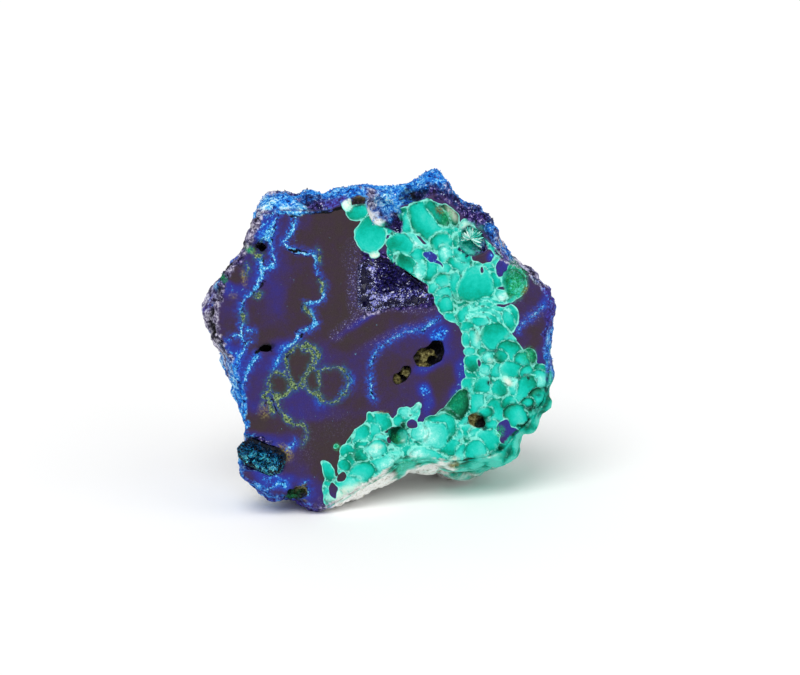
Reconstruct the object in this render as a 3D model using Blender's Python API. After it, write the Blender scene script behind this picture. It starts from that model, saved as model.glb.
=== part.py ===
"""A cut and polished azurite-malachite specimen that stands on its natural base.

The stone is one solid: a lump of azurite with a band of malachite knobs, sawn
flat in front.  It is lofted through three outlines (the sawn face, the widest
girth behind it and the back), roughened, given its knobs and hollowed.  Two of
the hollows hold a crust of crystals, each a solid of its own.

Everything is modelled upright, with the sawn face in the plane y = 0 and the
stone behind it, and then leaned back and trimmed by the surface it stands on.
Outlines are (x, z) in millimetres, seen from the front.
"""

import math
import random

import bmesh
import bpy
import numpy as np
from mathutils import Matrix, Vector, noise

MM = 0.001

# Driving dimensions
SPECIMEN_WIDTH = 70.0 * MM
LEAN = math.radians(8.0)
BASE_DEPTH = 28.0
TOP_DEPTH = 19.0
FACE_HEIGHT = 63.0
CENTRE = (0.0, 32.0)
CRUST_GAP = 0.45
FLOOR_LEVEL = 0.2 * MM

# The outlines were set out for this width and scale with SPECIMEN_WIDTH.
OUTLINE_WIDTH = 70.0
# They are seen from the left and from above, so they are sheared onto the sawn face.
SIGHT_TURN = math.radians(-12.0)
SIGHT_RISE = math.radians(16.0)

FACE_OUTLINE = [
    (-24.4, 58.0), (-21.4, 58.2), (-16.2, 58.6), (-10.6, 59.0), (-7.4, 60.0), (-6.6, 61.8),
    (-3.6, 62.4), (-1.2, 60.6), (1.6, 59.6), (4.2, 60.2), (7.4, 61.2), (10.2, 62.0), (12.8, 61.2),
    (14.8, 59.6), (17.0, 58.0), (20.0, 55.8), (22.4, 53.6), (24.6, 51.4), (27.6, 49.6),
    (30.6, 47.6), (34.6, 44.4), (36.2, 41.4), (36.2, 38.4), (35.6, 35.8), (35.8, 32.4),
    (35.6, 29.6), (35.0, 26.8), (33.2, 23.6), (31.8, 20.0), (30.0, 16.6), (28.0, 14.0),
    (25.8, 10.8), (23.0, 10.0), (19.6, 9.6), (16.0, 9.4), (13.0, 9.6), (9.0, 9.4), (6.4, 9.2),
    (4.0, 8.6), (1.0, 7.4), (-2.0, 5.8), (-4.4, 4.2), (-7.0, 2.6), (-9.4, 1.6), (-11.6, -0.2),
    (-14.0, 0.2), (-16.0, 1.8), (-18.4, 2.8), (-21.0, 2.6), (-23.6, 3.4), (-25.6, 5.4),
    (-28.2, 8.0), (-28.6, 11.4), (-28.2, 14.4), (-27.6, 17.0), (-28.2, 19.6), (-28.4, 21.2),
    (-29.4, 24.2), (-29.8, 27.2), (-30.2, 30.4), (-30.8, 34.4), (-31.2, 38.8), (-31.0, 42.0),
    (-30.2, 45.4), (-29.4, 48.0), (-27.4, 50.8), (-25.6, 54.4), (-24.9, 57.0),
]

# The whole stone as it is seen.
SEEN_OUTLINE = [
    (-25.4, 59.3), (-25.1, 60.5), (-24.9, 61.3), (-23.9, 62.8), (-23.2, 63.4), (-22.0, 63.8),
    (-21.0, 64.4), (-19.9, 64.8), (-18.8, 64.5), (-17.8, 64.3), (-16.5, 64.4), (-15.4, 65.1),
    (-14.5, 64.8), (-13.6, 65.0), (-13.4, 64.3), (-12.4, 64.0), (-11.2, 63.9), (-10.5, 64.4),
    (-9.6, 64.8), (-8.2, 64.8), (-7.0, 65.2), (-5.8, 65.5), (-4.4, 65.6), (-2.5, 65.6),
    (-1.0, 65.4), (0.2, 65.3), (1.5, 65.8), (3.0, 66.0), (4.6, 66.2), (5.9, 66.0), (6.6, 66.4),
    (7.3, 67.2), (7.6, 68.2), (8.8, 68.9), (9.9, 69.2), (11.0, 69.0), (11.8, 68.4), (12.5, 67.7),
    (13.0, 67.1), (13.6, 66.4), (14.1, 65.7), (14.6, 65.0), (15.3, 64.2), (16.0, 63.3),
    (16.8, 62.5), (18.1, 62.2), (19.5, 61.9), (20.6, 61.0), (21.6, 59.8), (22.6, 58.7),
    (23.6, 57.6), (23.9, 56.4), (24.8, 55.3), (25.6, 54.0), (27.5, 52.5), (29.0, 51.4),
    (30.3, 50.5), (31.4, 49.3), (32.5, 48.0), (33.3, 46.8), (34.0, 45.3), (34.8, 43.5),
    (35.3, 41.9), (35.5, 40.3), (35.2, 38.8), (35.0, 37.5), (34.7, 36.3), (34.5, 34.8),
    (34.5, 33.5), (34.7, 32.3), (34.6, 30.8), (34.7, 29.3), (34.8, 27.8), (34.7, 26.3),
    (34.2, 25.3), (33.6, 24.7), (33.8, 23.5), (34.2, 22.5), (34.0, 21.3), (33.3, 20.3),
    (32.3, 19.8), (31.7, 18.8), (32.0, 17.8), (31.5, 16.8), (30.5, 16.2), (29.5, 16.3),
    (28.6, 15.8), (28.2, 14.8), (28.0, 13.5), (28.2, 12.4), (27.5, 11.4), (25.8, 11.0),
    (25.3, 10.0), (24.2, 9.0), (22.5, 8.3), (21.0, 7.5), (19.0, 6.6), (17.0, 6.4), (16.5, 5.8),
    (15.2, 5.4), (14.2, 5.9), (13.0, 6.5), (12.0, 7.0), (10.5, 7.2), (9.0, 7.4), (7.8, 7.9),
    (6.5, 7.8), (4.5, 7.2), (3.5, 6.5), (2.0, 5.9), (0.5, 5.2), (-1.5, 4.3), (-2.5, 4.1),
    (-4.0, 3.4), (-5.8, 2.0), (-6.8, 1.6), (-8.0, 1.8), (-9.2, 1.4), (-10.5, 0.5), (-11.5, 0.0),
    (-12.5, -0.5),
    (-13.6, 0.2), (-15.0, 0.5), (-16.0, 1.5), (-17.2, 2.4), (-18.5, 2.7), (-19.9, 3.0),
    (-20.8, 2.5), (-22.0, 2.8), (-23.2, 2.8), (-23.9, 3.5), (-23.6, 4.5), (-24.5, 5.2),
    (-25.8, 5.8), (-26.8, 6.5), (-27.7, 7.2), (-28.0, 8.5), (-28.4, 10.0), (-28.3, 11.5),
    (-28.6, 12.5), (-28.1, 13.8), (-27.3, 15.0), (-27.6, 16.0), (-27.8, 17.7), (-27.6, 18.8),
    (-28.0, 19.8), (-27.9, 20.8), (-28.7, 22.0), (-29.2, 23.3), (-29.6, 24.5), (-30.0, 25.8),
    (-30.2, 27.3), (-31.1, 27.8), (-31.2, 28.8), (-31.9, 29.8), (-32.2, 31.3), (-32.5, 32.8),
    (-33.0, 34.0), (-34.0, 35.0), (-34.3, 36.3), (-34.5, 37.3), (-35.0, 38.8), (-35.6, 40.3),
    (-35.6, 41.3), (-35.2, 42.8), (-34.1, 43.8), (-33.9, 45.0), (-33.7, 46.0), (-32.7, 46.6),
    (-32.0, 47.5), (-31.5, 48.3), (-30.8, 49.0), (-30.4, 49.8), (-29.8, 50.5), (-29.0, 51.5),
    (-28.0, 52.4), (-27.2, 53.3), (-26.4, 54.1), (-25.9, 55.8), (-25.9, 57.0), (-25.6, 58.0),
]

BACK_OUTLINE = [
    (-19.0, 56.5), (-10.0, 59.0), (0.0, 59.4), (9.0, 61.0), (14.0, 59.4), (20.0, 53.6),
    (27.0, 46.6), (31.0, 39.6), (31.4, 30.0), (29.4, 20.0), (27.0, 10.0), (24.0, 0.0),
    (15.0, 0.0), (11.0, 5.0), (2.0, 5.4), (-5.0, 4.0), (-9.0, -1.0), (-19.0, -1.0), (-23.4, 4.0),
    (-24.4, 12.0), (-25.0, 22.0), (-27.6, 32.0), (-28.6, 42.0), (-25.0, 50.6),
]

# Share of the depth, how far from face to girth, how far from girth to back, and size.
LOFT_STATIONS = [
    (-0.10, 0.00, 0.00, 1.00),
    (0.00, 0.00, 0.00, 1.00),
    (0.06, 0.50, 0.00, 1.00),
    (0.17, 0.85, 0.00, 1.00),
    (0.36, 1.00, 0.00, 1.00),
    (0.57, 1.00, 0.38, 1.00),
    (0.76, 1.00, 0.80, 0.99),
    (0.88, 1.00, 1.00, 0.94),
    (0.96, 1.00, 1.00, 0.82),
    (1.02, 1.00, 1.00, 0.62),
    (1.05, 1.00, 1.00, 0.36),
    (1.06, 1.00, 1.00, 0.08),
]
LOFT_SIDES = 160
GIRTH_DEPTH = 12.0
# The lump is fitted to the seen outline in rounds: directions that share one stretch, and start.
FIT_SIDES = 144
FIT_SPARE = 1.005
FIT_ROUNDS = ((5, 0.5), (4, 0.6), (3, 0.7), (1, 0.92), (1, 0.94))
BODY_GRID = 0.9
BODY_TRIANGLES = 8300

# Height and wavelength of each octave of the stone's broken skin.
SKIN_ROUGHNESS = ((2.4, 15.0), (1.4, 7.0), (0.9, 3.2))
KNOB_HEIGHT = 1.5
KNOB_SPACING = 4.4
SAWN_EDGE_ROUGHNESS = 0.3  # share of the roughness left at the sawn edge
ROUGH_FROM_DEPTH = 4.0

# The malachite band, from the top down the right side and along the foot: x, z, half width.
MALACHITE_BAND = [
    (-5.6, 62.8, 3.4), (-2.4, 56.4, 4.6), (4.0, 53.8, 4.0), (10.4, 57.4, 5.4), (14.0, 52.0, 6.0),
    (18.0, 46.8, 7.0), (21.0, 38.8, 6.4), (24.0, 30.8, 6.6), (26.4, 24.0, 8.4), (25.0, 16.0, 8.6),
    (18.0, 11.0, 7.0), (10.0, 10.0, 6.0), (2.0, 9.0, 5.6), (-6.0, 6.0, 4.4), (-9.0, 3.0, 3.0),
]

# Malachite knobs that stand out round the lower right: x, depth, z, radius.
KNOBS = [
    (31.6, 4.4, 27.4, 3.0), (30.4, 5.4, 21.8, 3.7), (29.6, 3.6, 17.6, 2.6), (26.0, 5.6, 13.6, 4.0),
    (21.6, 4.4, 10.8, 2.9), (17.4, 7.0, 8.6, 3.3), (13.0, 3.8, 10.0, 2.6), (7.4, 6.0, 8.2, 3.5),
    (2.2, 4.0, 8.0, 2.7), (-3.0, 5.6, 5.0, 3.0), (-6.6, 3.0, 3.6, 1.8), (12.0, 9.6, 6.4, 3.9),
    (20.6, 12.4, 5.2, 4.6), (25.4, 12.6, 9.4, 4.2), (29.0, 11.0, 14.4, 4.4), (31.4, 12.6, 20.6, 4.0),
    (32.0, 9.6, 25.2, 3.0), (26.8, 19.6, 13.0, 4.6), (28.0, 19.0, 20.4, 5.2), (22.0, 24.0, 17.4, 5.4),
    (19.8, 24.6, 9.6, 5.0), (12.4, 27.0, 12.4, 4.8), (15.6, 25.4, 21.8, 4.4), (23.0, 22.6, 25.6, 3.8),
]

# The two crystal-lined hollows: outline, depth and the place of the deepest point.
VUG_OUTLINE = [
    (-4.6, 49.9), (-2.2, 51.0), (1.0, 51.2), (5.4, 48.6), (8.6, 46.0), (10.4, 42.2), (6.8, 41.3),
    (2.6, 41.0), (-2.6, 40.2), (-4.6, 41.0), (-4.8, 45.6),
]
VUG_DEPTH = 3.4
VUG_LOWEST = (4.2, 46.8)
POCKET_RIM = [
    (-25.3, 15.6), (-22.6, 14.3), (-19.6, 13.1), (-18.2, 11.6), (-18.6, 9.7), (-19.4, 8.1),
    (-21.5, 7.4), (-24.5, 8.6),
]
# The pocket runs out through the left side, where its crystals end in the air.
POCKET_OUTLINE = POCKET_RIM + [(-29.0, 8.4), (-36.0, 9.4), (-36.0, 15.0), (-29.0, 16.2)]
POCKET_CRUST_OUTLINE = POCKET_RIM + [(-27.0, 9.6), (-28.6, 11.4), (-28.8, 13.4), (-27.6, 14.8)]
POCKET_DEPTH = 5.0
POCKET_LOWEST = (-25.6, 12.2)
CRUST_THICKNESS = 1.1
CRUST_SPIKE = 0.9
CRUST_JITTER = 0.32

# Plain hollows in the sawn face: outline and depth.
HOLLOWS = {
    "ochre_hole_right": (
        [(6.6, 31.4), (7.9, 33.0), (9.6, 33.4), (10.6, 34.7), (12.6, 34.6), (13.0, 32.4),
         (12.4, 30.6), (9.8, 29.3), (7.4, 29.4)], 3.2),
    "ochre_hole_left": (
        [(2.7, 27.8), (4.1, 28.4), (4.6, 29.5), (6.1, 29.7), (6.4, 28.4), (5.2, 26.6),
         (3.4, 25.7), (2.6, 26.4)], 2.4),
    "bottom_hollow": (
        [(-18.6, 5.0), (-16.6, 4.9), (-14.6, 5.8), (-14.2, 3.6), (-16.2, 2.9), (-18.4, 3.4)], 1.8),
    "brown_hollow": (
        [(17.6, 19.6), (19.8, 20.4), (22.0, 19.0), (21.6, 17.2), (19.6, 16.9), (17.8, 17.8)], 2.2),
    "top_notch": (
        [(-3.2, 62.2), (-1.4, 57.6), (1.0, 57.0), (4.6, 55.6), (5.0, 58.4), (3.8, 63.0),
         (-0.4, 65.0)], 3.4),
    "shoulder_notch": (
        [(16.2, 57.0), (15.8, 53.4), (18.2, 51.2), (20.8, 52.0), (22.0, 53.0), (20.4, 56.6),
         (17.8, 58.0)], 2.6),
    "green_hollow": (
        [(24.6, 48.6), (27.2, 49.4), (29.6, 47.4), (28.6, 43.6), (25.8, 43.2), (24.6, 45.6)], 1.6),
    "lower_gap": (
        [(1.4, 16.8), (3.8, 17.6), (5.8, 16.8), (5.6, 14.0), (3.4, 13.6), (2.0, 14.6)], 2.0),
    "edge_hole": ([(-24.6, 53.4), (-23.4, 54.2), (-22.2, 53.2), (-23.2, 52.0)], 1.8),
    "dark_crack": ([(-24.6, 32.8), (-22.9, 33.8), (-20.7, 33.4), (-22.2, 32.4)], 1.4),
}
# Lumps joined on last, x, depth, z and radius: ochre ones left standing in the two round holes,
# and those that the stone rests on at the back right.
LUMPS = [
    (8.9, 3.0, 31.5, 1.9), (10.4, 3.0, 31.9, 1.5), (3.8, 2.4, 26.9, 1.0), (5.0, 2.3, 28.1, 0.9),
    (18.8, 18.4, 7.1, 4.1), (15.6, 23.4, 8.6, 4.3), (23.0, 22.4, 8.6, 4.3),
]

STONE_COLOUR = (0.03, 0.10, 0.18, 1.0)
DRUSE_COLOUR = (0.025, 0.020, 0.20, 1.0)
POCKET_COLOUR = (0.010, 0.12, 0.26, 1.0)

SCALE = SPECIMEN_WIDTH / (OUTLINE_WIDTH * MM)


def clear_scene():
    """Removes whatever the file starts with."""
    for thing in list(bpy.data.objects):
        bpy.data.objects.remove(thing)


def material(name, colour, roughness):
    """A plain Principled material."""
    made = bpy.data.materials.new(name)
    made.use_nodes = True
    shader = made.node_tree.nodes["Principled BSDF"]
    shader.inputs["Base Color"].default_value = colour
    shader.inputs["Roughness"].default_value = roughness
    shader.inputs["Metallic"].default_value = 0.0
    return made


def add_object(name, mesh_builder, finish=None):
    """Turns a bmesh into a linked object."""
    mesh = bpy.data.meshes.new(name)
    bmesh.ops.recalc_face_normals(mesh_builder, faces=mesh_builder.faces)
    mesh_builder.to_mesh(mesh)
    mesh_builder.free()
    made = bpy.data.objects.new(name, mesh)
    if finish:
        mesh.materials.append(finish)
    bpy.context.scene.collection.objects.link(made)
    return made


def apply_modifier(target, kind, **settings):
    """Adds one modifier to an object and applies it."""
    modifier = target.modifiers.new(kind, kind)
    for setting, value in settings.items():
        setattr(modifier, setting, value)
    bpy.context.view_layer.objects.active = target
    bpy.ops.object.modifier_apply(modifier=modifier.name)


def apply_boolean(target, tool, operation):
    """Cuts tool from target, or joins it, and removes tool."""
    apply_modifier(target, "BOOLEAN", operation=operation, solver="EXACT", object=tool)
    bpy.data.objects.remove(tool)


def sight():
    """The directions to the right and upwards of the view that the outlines are seen in."""
    right = Vector((math.cos(SIGHT_TURN), math.sin(SIGHT_TURN), 0.0))
    up = Vector((-math.sin(SIGHT_TURN) * math.sin(SIGHT_RISE),
                 math.cos(SIGHT_TURN) * math.sin(SIGHT_RISE), math.cos(SIGHT_RISE)))
    return right, up


def seen_shift(depth):
    """How far a point so deep in the stone is seen right of and above its place on the face."""
    inward = Vector((0.0, math.cos(LEAN), -math.sin(LEAN)))
    return [depth * inward.dot(way) for way in sight()]


def radii_at(outline, angles):
    """Distance from CENTRE to an outline at each angle."""
    points = np.array(outline) - np.array(CENTRE)
    around = np.arctan2(points[:, 1], points[:, 0])
    return np.interp(angles, around, np.hypot(points[:, 0], points[:, 1]), period=2 * math.pi)


def depth_at(height):
    """Depth of the stone from face to back, which shrinks towards the top."""
    return BASE_DEPTH + (TOP_DEPTH - BASE_DEPTH) * min(max(height / FACE_HEIGHT, 0.0), 1.0)


def grain(point, octaves):
    """Height of the rough skin at a point in millimetres."""
    return sum(high * noise.noise(point / long) for high, long in octaves)


def knobbly(point):
    """Height of rounded knobs packed together, at a point in millimetres."""
    nearest = noise.voronoi(point / KNOB_SPACING)[0][0]
    return KNOB_HEIGHT * (math.sqrt(max(0.0, 1.0 - nearest * nearest)) - 0.6)


def malachite_share(x, z):
    """1 inside the malachite band, 0 well outside it."""
    place = Vector((x, z))
    best = 0.0
    for (ax, az, a_wide), (bx, bz, b_wide) in zip(MALACHITE_BAND, MALACHITE_BAND[1:]):
        start, end = Vector((ax, az)), Vector((bx, bz))
        along = (place - start).dot(end - start) / (end - start).length_squared
        along = min(max(along, 0.0), 1.0)
        wide = a_wide + (b_wide - a_wide) * along
        away = (place - start.lerp(end, along)).length
        best = max(best, min(max((wide + 1.5 - away) / 3.0, 0.0), 1.0))
    return best


def skin(point):
    """Height of the stone's natural skin over the smooth loft."""
    share = malachite_share(point.x, point.z)
    return grain(point, SKIN_ROUGHNESS) * (1.0 - 0.6 * share) + knobbly(point) * share


def bridge(builder, first, second):
    """Quads between two closed rings of as many vertices."""
    count = len(first)
    for i in range(count):
        j = (i + 1) % count
        builder.faces.new((first[i], first[j], second[j], second[i]))


def fan(builder, ring, tip):
    """Triangles from a closed ring to one vertex."""
    for i, vertex in enumerate(ring):
        builder.faces.new((vertex, ring[(i + 1) % len(ring)], tip))


def loft(builder):
    """Adds the smooth lump, from in front of the sawn face to the closed back."""
    angles = np.linspace(-math.pi, math.pi, LOFT_SIDES, endpoint=False)
    right, up = seen_shift(GIRTH_DEPTH)
    girth_outline = [(x - right, z - up) for x, z in SEEN_OUTLINE]
    face, girth, back = (radii_at(line, angles) for line in (FACE_OUTLINE, girth_outline, BACK_OUTLINE))
    rings = []
    for share, to_girth, to_back, size in LOFT_STATIONS:
        radii = face + (girth - face) * to_girth
        radii = (radii + (back - radii) * to_back) * size
        ring = []
        for angle, radius in zip(angles, radii):
            x = CENTRE[0] + radius * math.cos(angle)
            z = CENTRE[1] + radius * math.sin(angle)
            ring.append(builder.verts.new((x, share * depth_at(z), z)))
        rings.append(ring)
    for first, second in zip(rings, rings[1:]):
        bridge(builder, first, second)
    builder.faces.new(rings[0])
    builder.faces.new(rings[-1])


def balls(builder, places):
    """Adds a ball for each place."""
    for x, depth, z, radius in places:
        spot = Matrix.Translation((x, depth, z))
        bmesh.ops.create_icosphere(builder, subdivisions=2, radius=radius, matrix=spot)


def roughen(mesh):
    """Moves every vertex of the lump out or in to its natural skin."""
    normals = [vertex.normal.copy() for vertex in mesh.vertices]
    for vertex, normal in zip(mesh.vertices, normals):
        rough = min(max(vertex.co.y / ROUGH_FROM_DEPTH, SAWN_EDGE_ROUGHNESS), 1.0)
        vertex.co += normal * skin(vertex.co) * rough


def fit_outline(mesh, spread, start):
    """Draws the lump's edge in or out, round CENTRE, towards its SEEN_OUTLINE.

    spread is the number of directions on each side that share one stretch.
    start is where it sets in, as a share of the way out to the edge.
    """
    points = np.array([vertex.co for vertex in mesh.vertices])
    right, up = seen_shift(points[:, 1])
    across, rise = points[:, 0] + right - CENTRE[0], points[:, 2] + up - CENTRE[1]
    angle, radius = np.arctan2(rise, across), np.hypot(across, rise)
    side = np.floor((angle + math.pi) / (2 * math.pi) * FIT_SIDES).astype(int) % FIT_SIDES
    kept = points[:, 1] >= 0.0
    edge = np.array([radius[kept & (side == i)].max() for i in range(FIT_SIDES)])
    middles = (np.arange(FIT_SIDES) + 0.5) / FIT_SIDES * 2 * math.pi - math.pi
    ratio = radii_at(SEEN_OUTLINE, middles) * FIT_SPARE / edge
    ratio = np.mean([np.roll(ratio, step) for step in range(-spread, spread + 1)], axis=0)
    reach, ratio = (np.interp(angle, middles, line, period=2 * math.pi) for line in (edge, ratio))
    pull = np.clip((radius / reach - start) / (1.0 - start), 0.0, 1.0)
    stretch = pull * pull * (3.0 - 2.0 * pull) * (ratio - 1.0)
    points[:, 0] += across * stretch
    points[:, 2] += rise * stretch
    mesh.vertices.foreach_set("co", points.ravel())
    mesh.update()


def stone_body(finish):
    """The whole lump before it is sawn, as one even skin of few triangles."""
    builder = bmesh.new()
    loft(builder)
    balls(builder, KNOBS)
    stone = add_object("specimen", builder, finish)
    apply_modifier(stone, "REMESH", mode="VOXEL", voxel_size=BODY_GRID)
    roughen(stone.data)
    apply_modifier(stone, "REMESH", mode="VOXEL", voxel_size=BODY_GRID)
    for spread, start in FIT_ROUNDS:
        fit_outline(stone.data, spread, start)
    triangles = sum(len(face.vertices) - 2 for face in stone.data.polygons)
    apply_modifier(stone, "DECIMATE", ratio=BODY_TRIANGLES / triangles)
    return stone


def middle_of(outline):
    """The mean of an outline's points."""
    return tuple(sum(values) / len(outline) for values in zip(*outline))


def bowl_rings(outline, depth, lowest, inset=0.0, lift=0.0):
    """Rings of points down a bowl, the first at the face, and its lowest point.

    The rings shrink towards the lowest point.  inset draws the rim in and lift
    raises the floor.
    """
    low = Vector(lowest)
    rim = [Vector(p) - (Vector(p) - low).normalized() * inset for p in outline]
    rings = []
    for size, down in ((1.0, 0.0), (0.86, 0.42), (0.62, 0.80), (0.32, 0.97)):
        level = max(down * depth - lift, 0.0)
        flat = [low + (p - low) * size for p in rim]
        rings.append([(p.x, level, p.y) for p in flat])
    return rings, (low.x, depth - lift, low.y)


def hollow(name, outline, depth, lowest=None):
    """A cutter shaped as a bowl, standing out in front of the face."""
    rings, low = bowl_rings(outline, depth, lowest or middle_of(outline))
    builder = bmesh.new()
    front = [builder.verts.new((x, -2.0, z)) for x, _, z in rings[0]]
    previous = front
    for ring in rings:
        current = [builder.verts.new(p) for p in ring]
        bridge(builder, previous, current)
        previous = current
    fan(builder, previous, builder.verts.new(low))
    builder.faces.new(front)
    return add_object(name, builder)


def crystal_crust(name, outline, depth, lowest, finish, seed):
    """A crust that lines a bowl: smooth below, flat-faced crystals on top."""
    dice = random.Random(seed)
    outline = subdivided(outline)
    under, low = bowl_rings(outline, depth, lowest, inset=CRUST_GAP, lift=CRUST_GAP)
    over, high = bowl_rings(
        outline, depth, lowest, inset=CRUST_GAP + 0.5, lift=CRUST_GAP + CRUST_THICKNESS)
    builder = bmesh.new()
    lower = [[builder.verts.new((x, y + 0.3, z)) for x, y, z in under[0]]]
    lower += [[builder.verts.new(p) for p in ring] for ring in under[1:]]
    upper = [[builder.verts.new((x, max(y, 0.25), z)) for x, y, z in ring] for ring in over]
    for vertex in (vertex for ring in upper[1:] for vertex in ring):
        vertex.co += Vector(dice.uniform(-CRUST_JITTER, CRUST_JITTER) for _ in range(3))
    for first, second in zip(lower, lower[1:]):
        bridge(builder, first, second)
    fan(builder, lower[-1], builder.verts.new(low))
    bridge(builder, lower[0], upper[0])
    before = set(builder.faces)
    for first, second in zip(upper, upper[1:]):
        bridge(builder, first, second)
    fan(builder, upper[-1], builder.verts.new(high))
    beds = [face for face in builder.faces if face not in before]
    bmesh.ops.recalc_face_normals(builder, faces=builder.faces)
    for bed in beds:
        tip = bmesh.ops.poke(builder, faces=[bed])["verts"][0]
        tip.co.y -= CRUST_SPIKE * dice.uniform(0.35, 1.0)
        tip.co.x += CRUST_SPIKE * dice.uniform(-0.4, 0.4)
        tip.co.z += CRUST_SPIKE * dice.uniform(-0.4, 0.4)
    return add_object(name, builder, finish)


def subdivided(outline):
    """The outline with a point added in the middle of each side."""
    closed = outline[1:] + outline[:1]
    return [p for a, b in zip(outline, closed) for p in (a, ((a[0] + b[0]) / 2, (a[1] + b[1]) / 2))]


def slab(name, low, high):
    """A box between two corners, used as a cutter."""
    builder = bmesh.new()
    size = [b - a for a, b in zip(low, high)]
    middle = [(a + b) / 2 for a, b in zip(low, high)]
    place = Matrix.Translation(middle) @ Matrix.Diagonal((*size, 1.0))
    bmesh.ops.create_cube(builder, size=1.0, matrix=place)
    return add_object(name, builder)


def outlines_to_face():
    """The matrix that shears the outlines onto the sawn face."""
    along, rise = Vector((1.0, 0.0, 0.0)), Vector((0.0, math.sin(LEAN), math.cos(LEAN)))
    (a, b), (c, d) = Matrix([[way.dot(seen) for way in (along, rise)] for seen in sight()]).inverted()
    return Matrix(((a, 0.0, b, 0.0), (0.0, 1.0, 0.0, 0.0), (c, 0.0, d, 0.0), (0.0, 0.0, 0.0, 1.0)))


def stand_up(made):
    """Shears a finished piece onto the face, leans it back and brings it to real size."""
    upright = Matrix.Rotation(-LEAN, 4, "X") @ outlines_to_face()
    made.data.transform(Matrix.Translation((0.0, 0.0, -FLOOR_LEVEL)) @ Matrix.Scale(MM * SCALE, 4) @ upright)
    made.data.update()
    return made


def centre(pieces):
    """Moves the pieces together until the origin is under the middle of their box."""
    points = np.array([vertex.co for piece in pieces for vertex in piece.data.vertices])
    middle = (points.min(axis=0) + points.max(axis=0)) / 2
    for piece in pieces:
        piece.data.transform(Matrix.Translation((-middle[0], -middle[1], 0.0)))


def build_stone(finish):
    """The stone, with its knobs, sawn face, hollows and trimmed base."""
    stone = stone_body(finish)
    apply_boolean(stone, slab("saw", (-60.0, -20.0, -20.0), (60.0, 0.0, 90.0)), "DIFFERENCE")
    apply_boolean(stone, hollow("vug", VUG_OUTLINE, VUG_DEPTH, VUG_LOWEST), "DIFFERENCE")
    apply_boolean(stone, hollow("pocket", POCKET_OUTLINE, POCKET_DEPTH, POCKET_LOWEST), "DIFFERENCE")
    for name, (outline, depth) in HOLLOWS.items():
        apply_boolean(stone, hollow(name, outline, depth), "DIFFERENCE")
    for place in LUMPS:
        builder = bmesh.new()
        balls(builder, [place])
        apply_boolean(stone, add_object("lump", builder), "UNION")
    stand_up(stone)
    floor = slab("floor", (-0.1, -0.1, -0.05), (0.1, 0.1, 0.0))
    apply_boolean(stone, floor, "DIFFERENCE")
    return stone


def main():
    """Builds every piece."""
    clear_scene()
    polished = material("azurite_malachite", STONE_COLOUR, 0.35)
    druse = material("azurite_crystals", DRUSE_COLOUR, 0.2)
    teal = material("teal_crystals", POCKET_COLOUR, 0.25)
    stone = build_stone(polished)
    in_vug = crystal_crust("vug_crystals", VUG_OUTLINE, VUG_DEPTH, VUG_LOWEST, druse, 3)
    in_pocket = crystal_crust(
        "pocket_crystals", POCKET_CRUST_OUTLINE, POCKET_DEPTH, POCKET_LOWEST, teal, 5)
    centre([stone, stand_up(in_vug), stand_up(in_pocket)])


main()
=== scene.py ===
"""The looks of an azurite-malachite stone, sawn and polished in front and rough all round.

The stone's own skin is remade fine enough to carry its grain, pits and knobs.
Its markings are drawn on the sawn face as veins, spots and cells.  They
reach the finish as distances and shares kept on the skin's points, and the
finish turns them into colour.  The two hollows are lined with crystals.

Lengths named in millimetres are in the face frame: x to the right, y into the
stone from the sawn face, z up the face from its foot.  The drawing of the
markings has its own grid, which Drawing turns into millimetres.
"""

from __future__ import annotations

import logging
import math
import random
from dataclasses import dataclass, field
from enum import Enum
from typing import Callable, Sequence

import bmesh
import bpy
import numpy as np
from mathutils import Matrix, Vector, noise


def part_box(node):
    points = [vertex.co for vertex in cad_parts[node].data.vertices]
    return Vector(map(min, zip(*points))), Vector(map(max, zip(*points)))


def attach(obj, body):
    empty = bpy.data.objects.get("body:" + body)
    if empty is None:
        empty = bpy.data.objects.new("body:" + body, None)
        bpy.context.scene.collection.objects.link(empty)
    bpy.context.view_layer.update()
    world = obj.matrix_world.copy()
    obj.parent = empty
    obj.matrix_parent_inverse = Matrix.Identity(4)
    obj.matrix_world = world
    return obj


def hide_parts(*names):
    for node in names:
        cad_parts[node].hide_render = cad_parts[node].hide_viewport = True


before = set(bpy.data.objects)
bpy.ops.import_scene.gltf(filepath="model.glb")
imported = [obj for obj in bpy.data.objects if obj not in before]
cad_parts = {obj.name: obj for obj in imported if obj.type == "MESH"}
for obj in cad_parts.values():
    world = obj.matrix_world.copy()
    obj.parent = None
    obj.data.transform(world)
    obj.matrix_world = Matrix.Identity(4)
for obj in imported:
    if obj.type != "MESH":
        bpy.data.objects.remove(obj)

LOG = logging.getLogger("stone")
MM = 0.001

LEAN = math.radians(8.0)
SIGHT_TURN = math.radians(-12.0)
SIGHT_RISE = math.radians(16.0)
FACE_FOOT = Vector((-0.002594, -0.016454, -0.0002))


def seen_from_front() -> Matrix:
    """Works out how the drawing shows the upright face.

    Returns:
        The matrix that takes places on the face to where the drawing shows them.
    """
    right = Vector((math.cos(SIGHT_TURN), math.sin(SIGHT_TURN), 0.0))
    up = Vector((-math.sin(SIGHT_TURN) * math.sin(SIGHT_RISE),
                 math.cos(SIGHT_TURN) * math.sin(SIGHT_RISE), math.cos(SIGHT_RISE)))
    along, rise = Vector((1.0, 0.0, 0.0)), Vector((0.0, math.sin(LEAN), math.cos(LEAN)))
    (a, b), (c, d) = ((along.dot(way), rise.dot(way)) for way in (right, up))
    return Matrix(((a, 0.0, b, 0.0), (0.0, 1.0, 0.0, 0.0), (c, 0.0, d, 0.0), (0.0, 0.0, 0.0, 1.0)))


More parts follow.
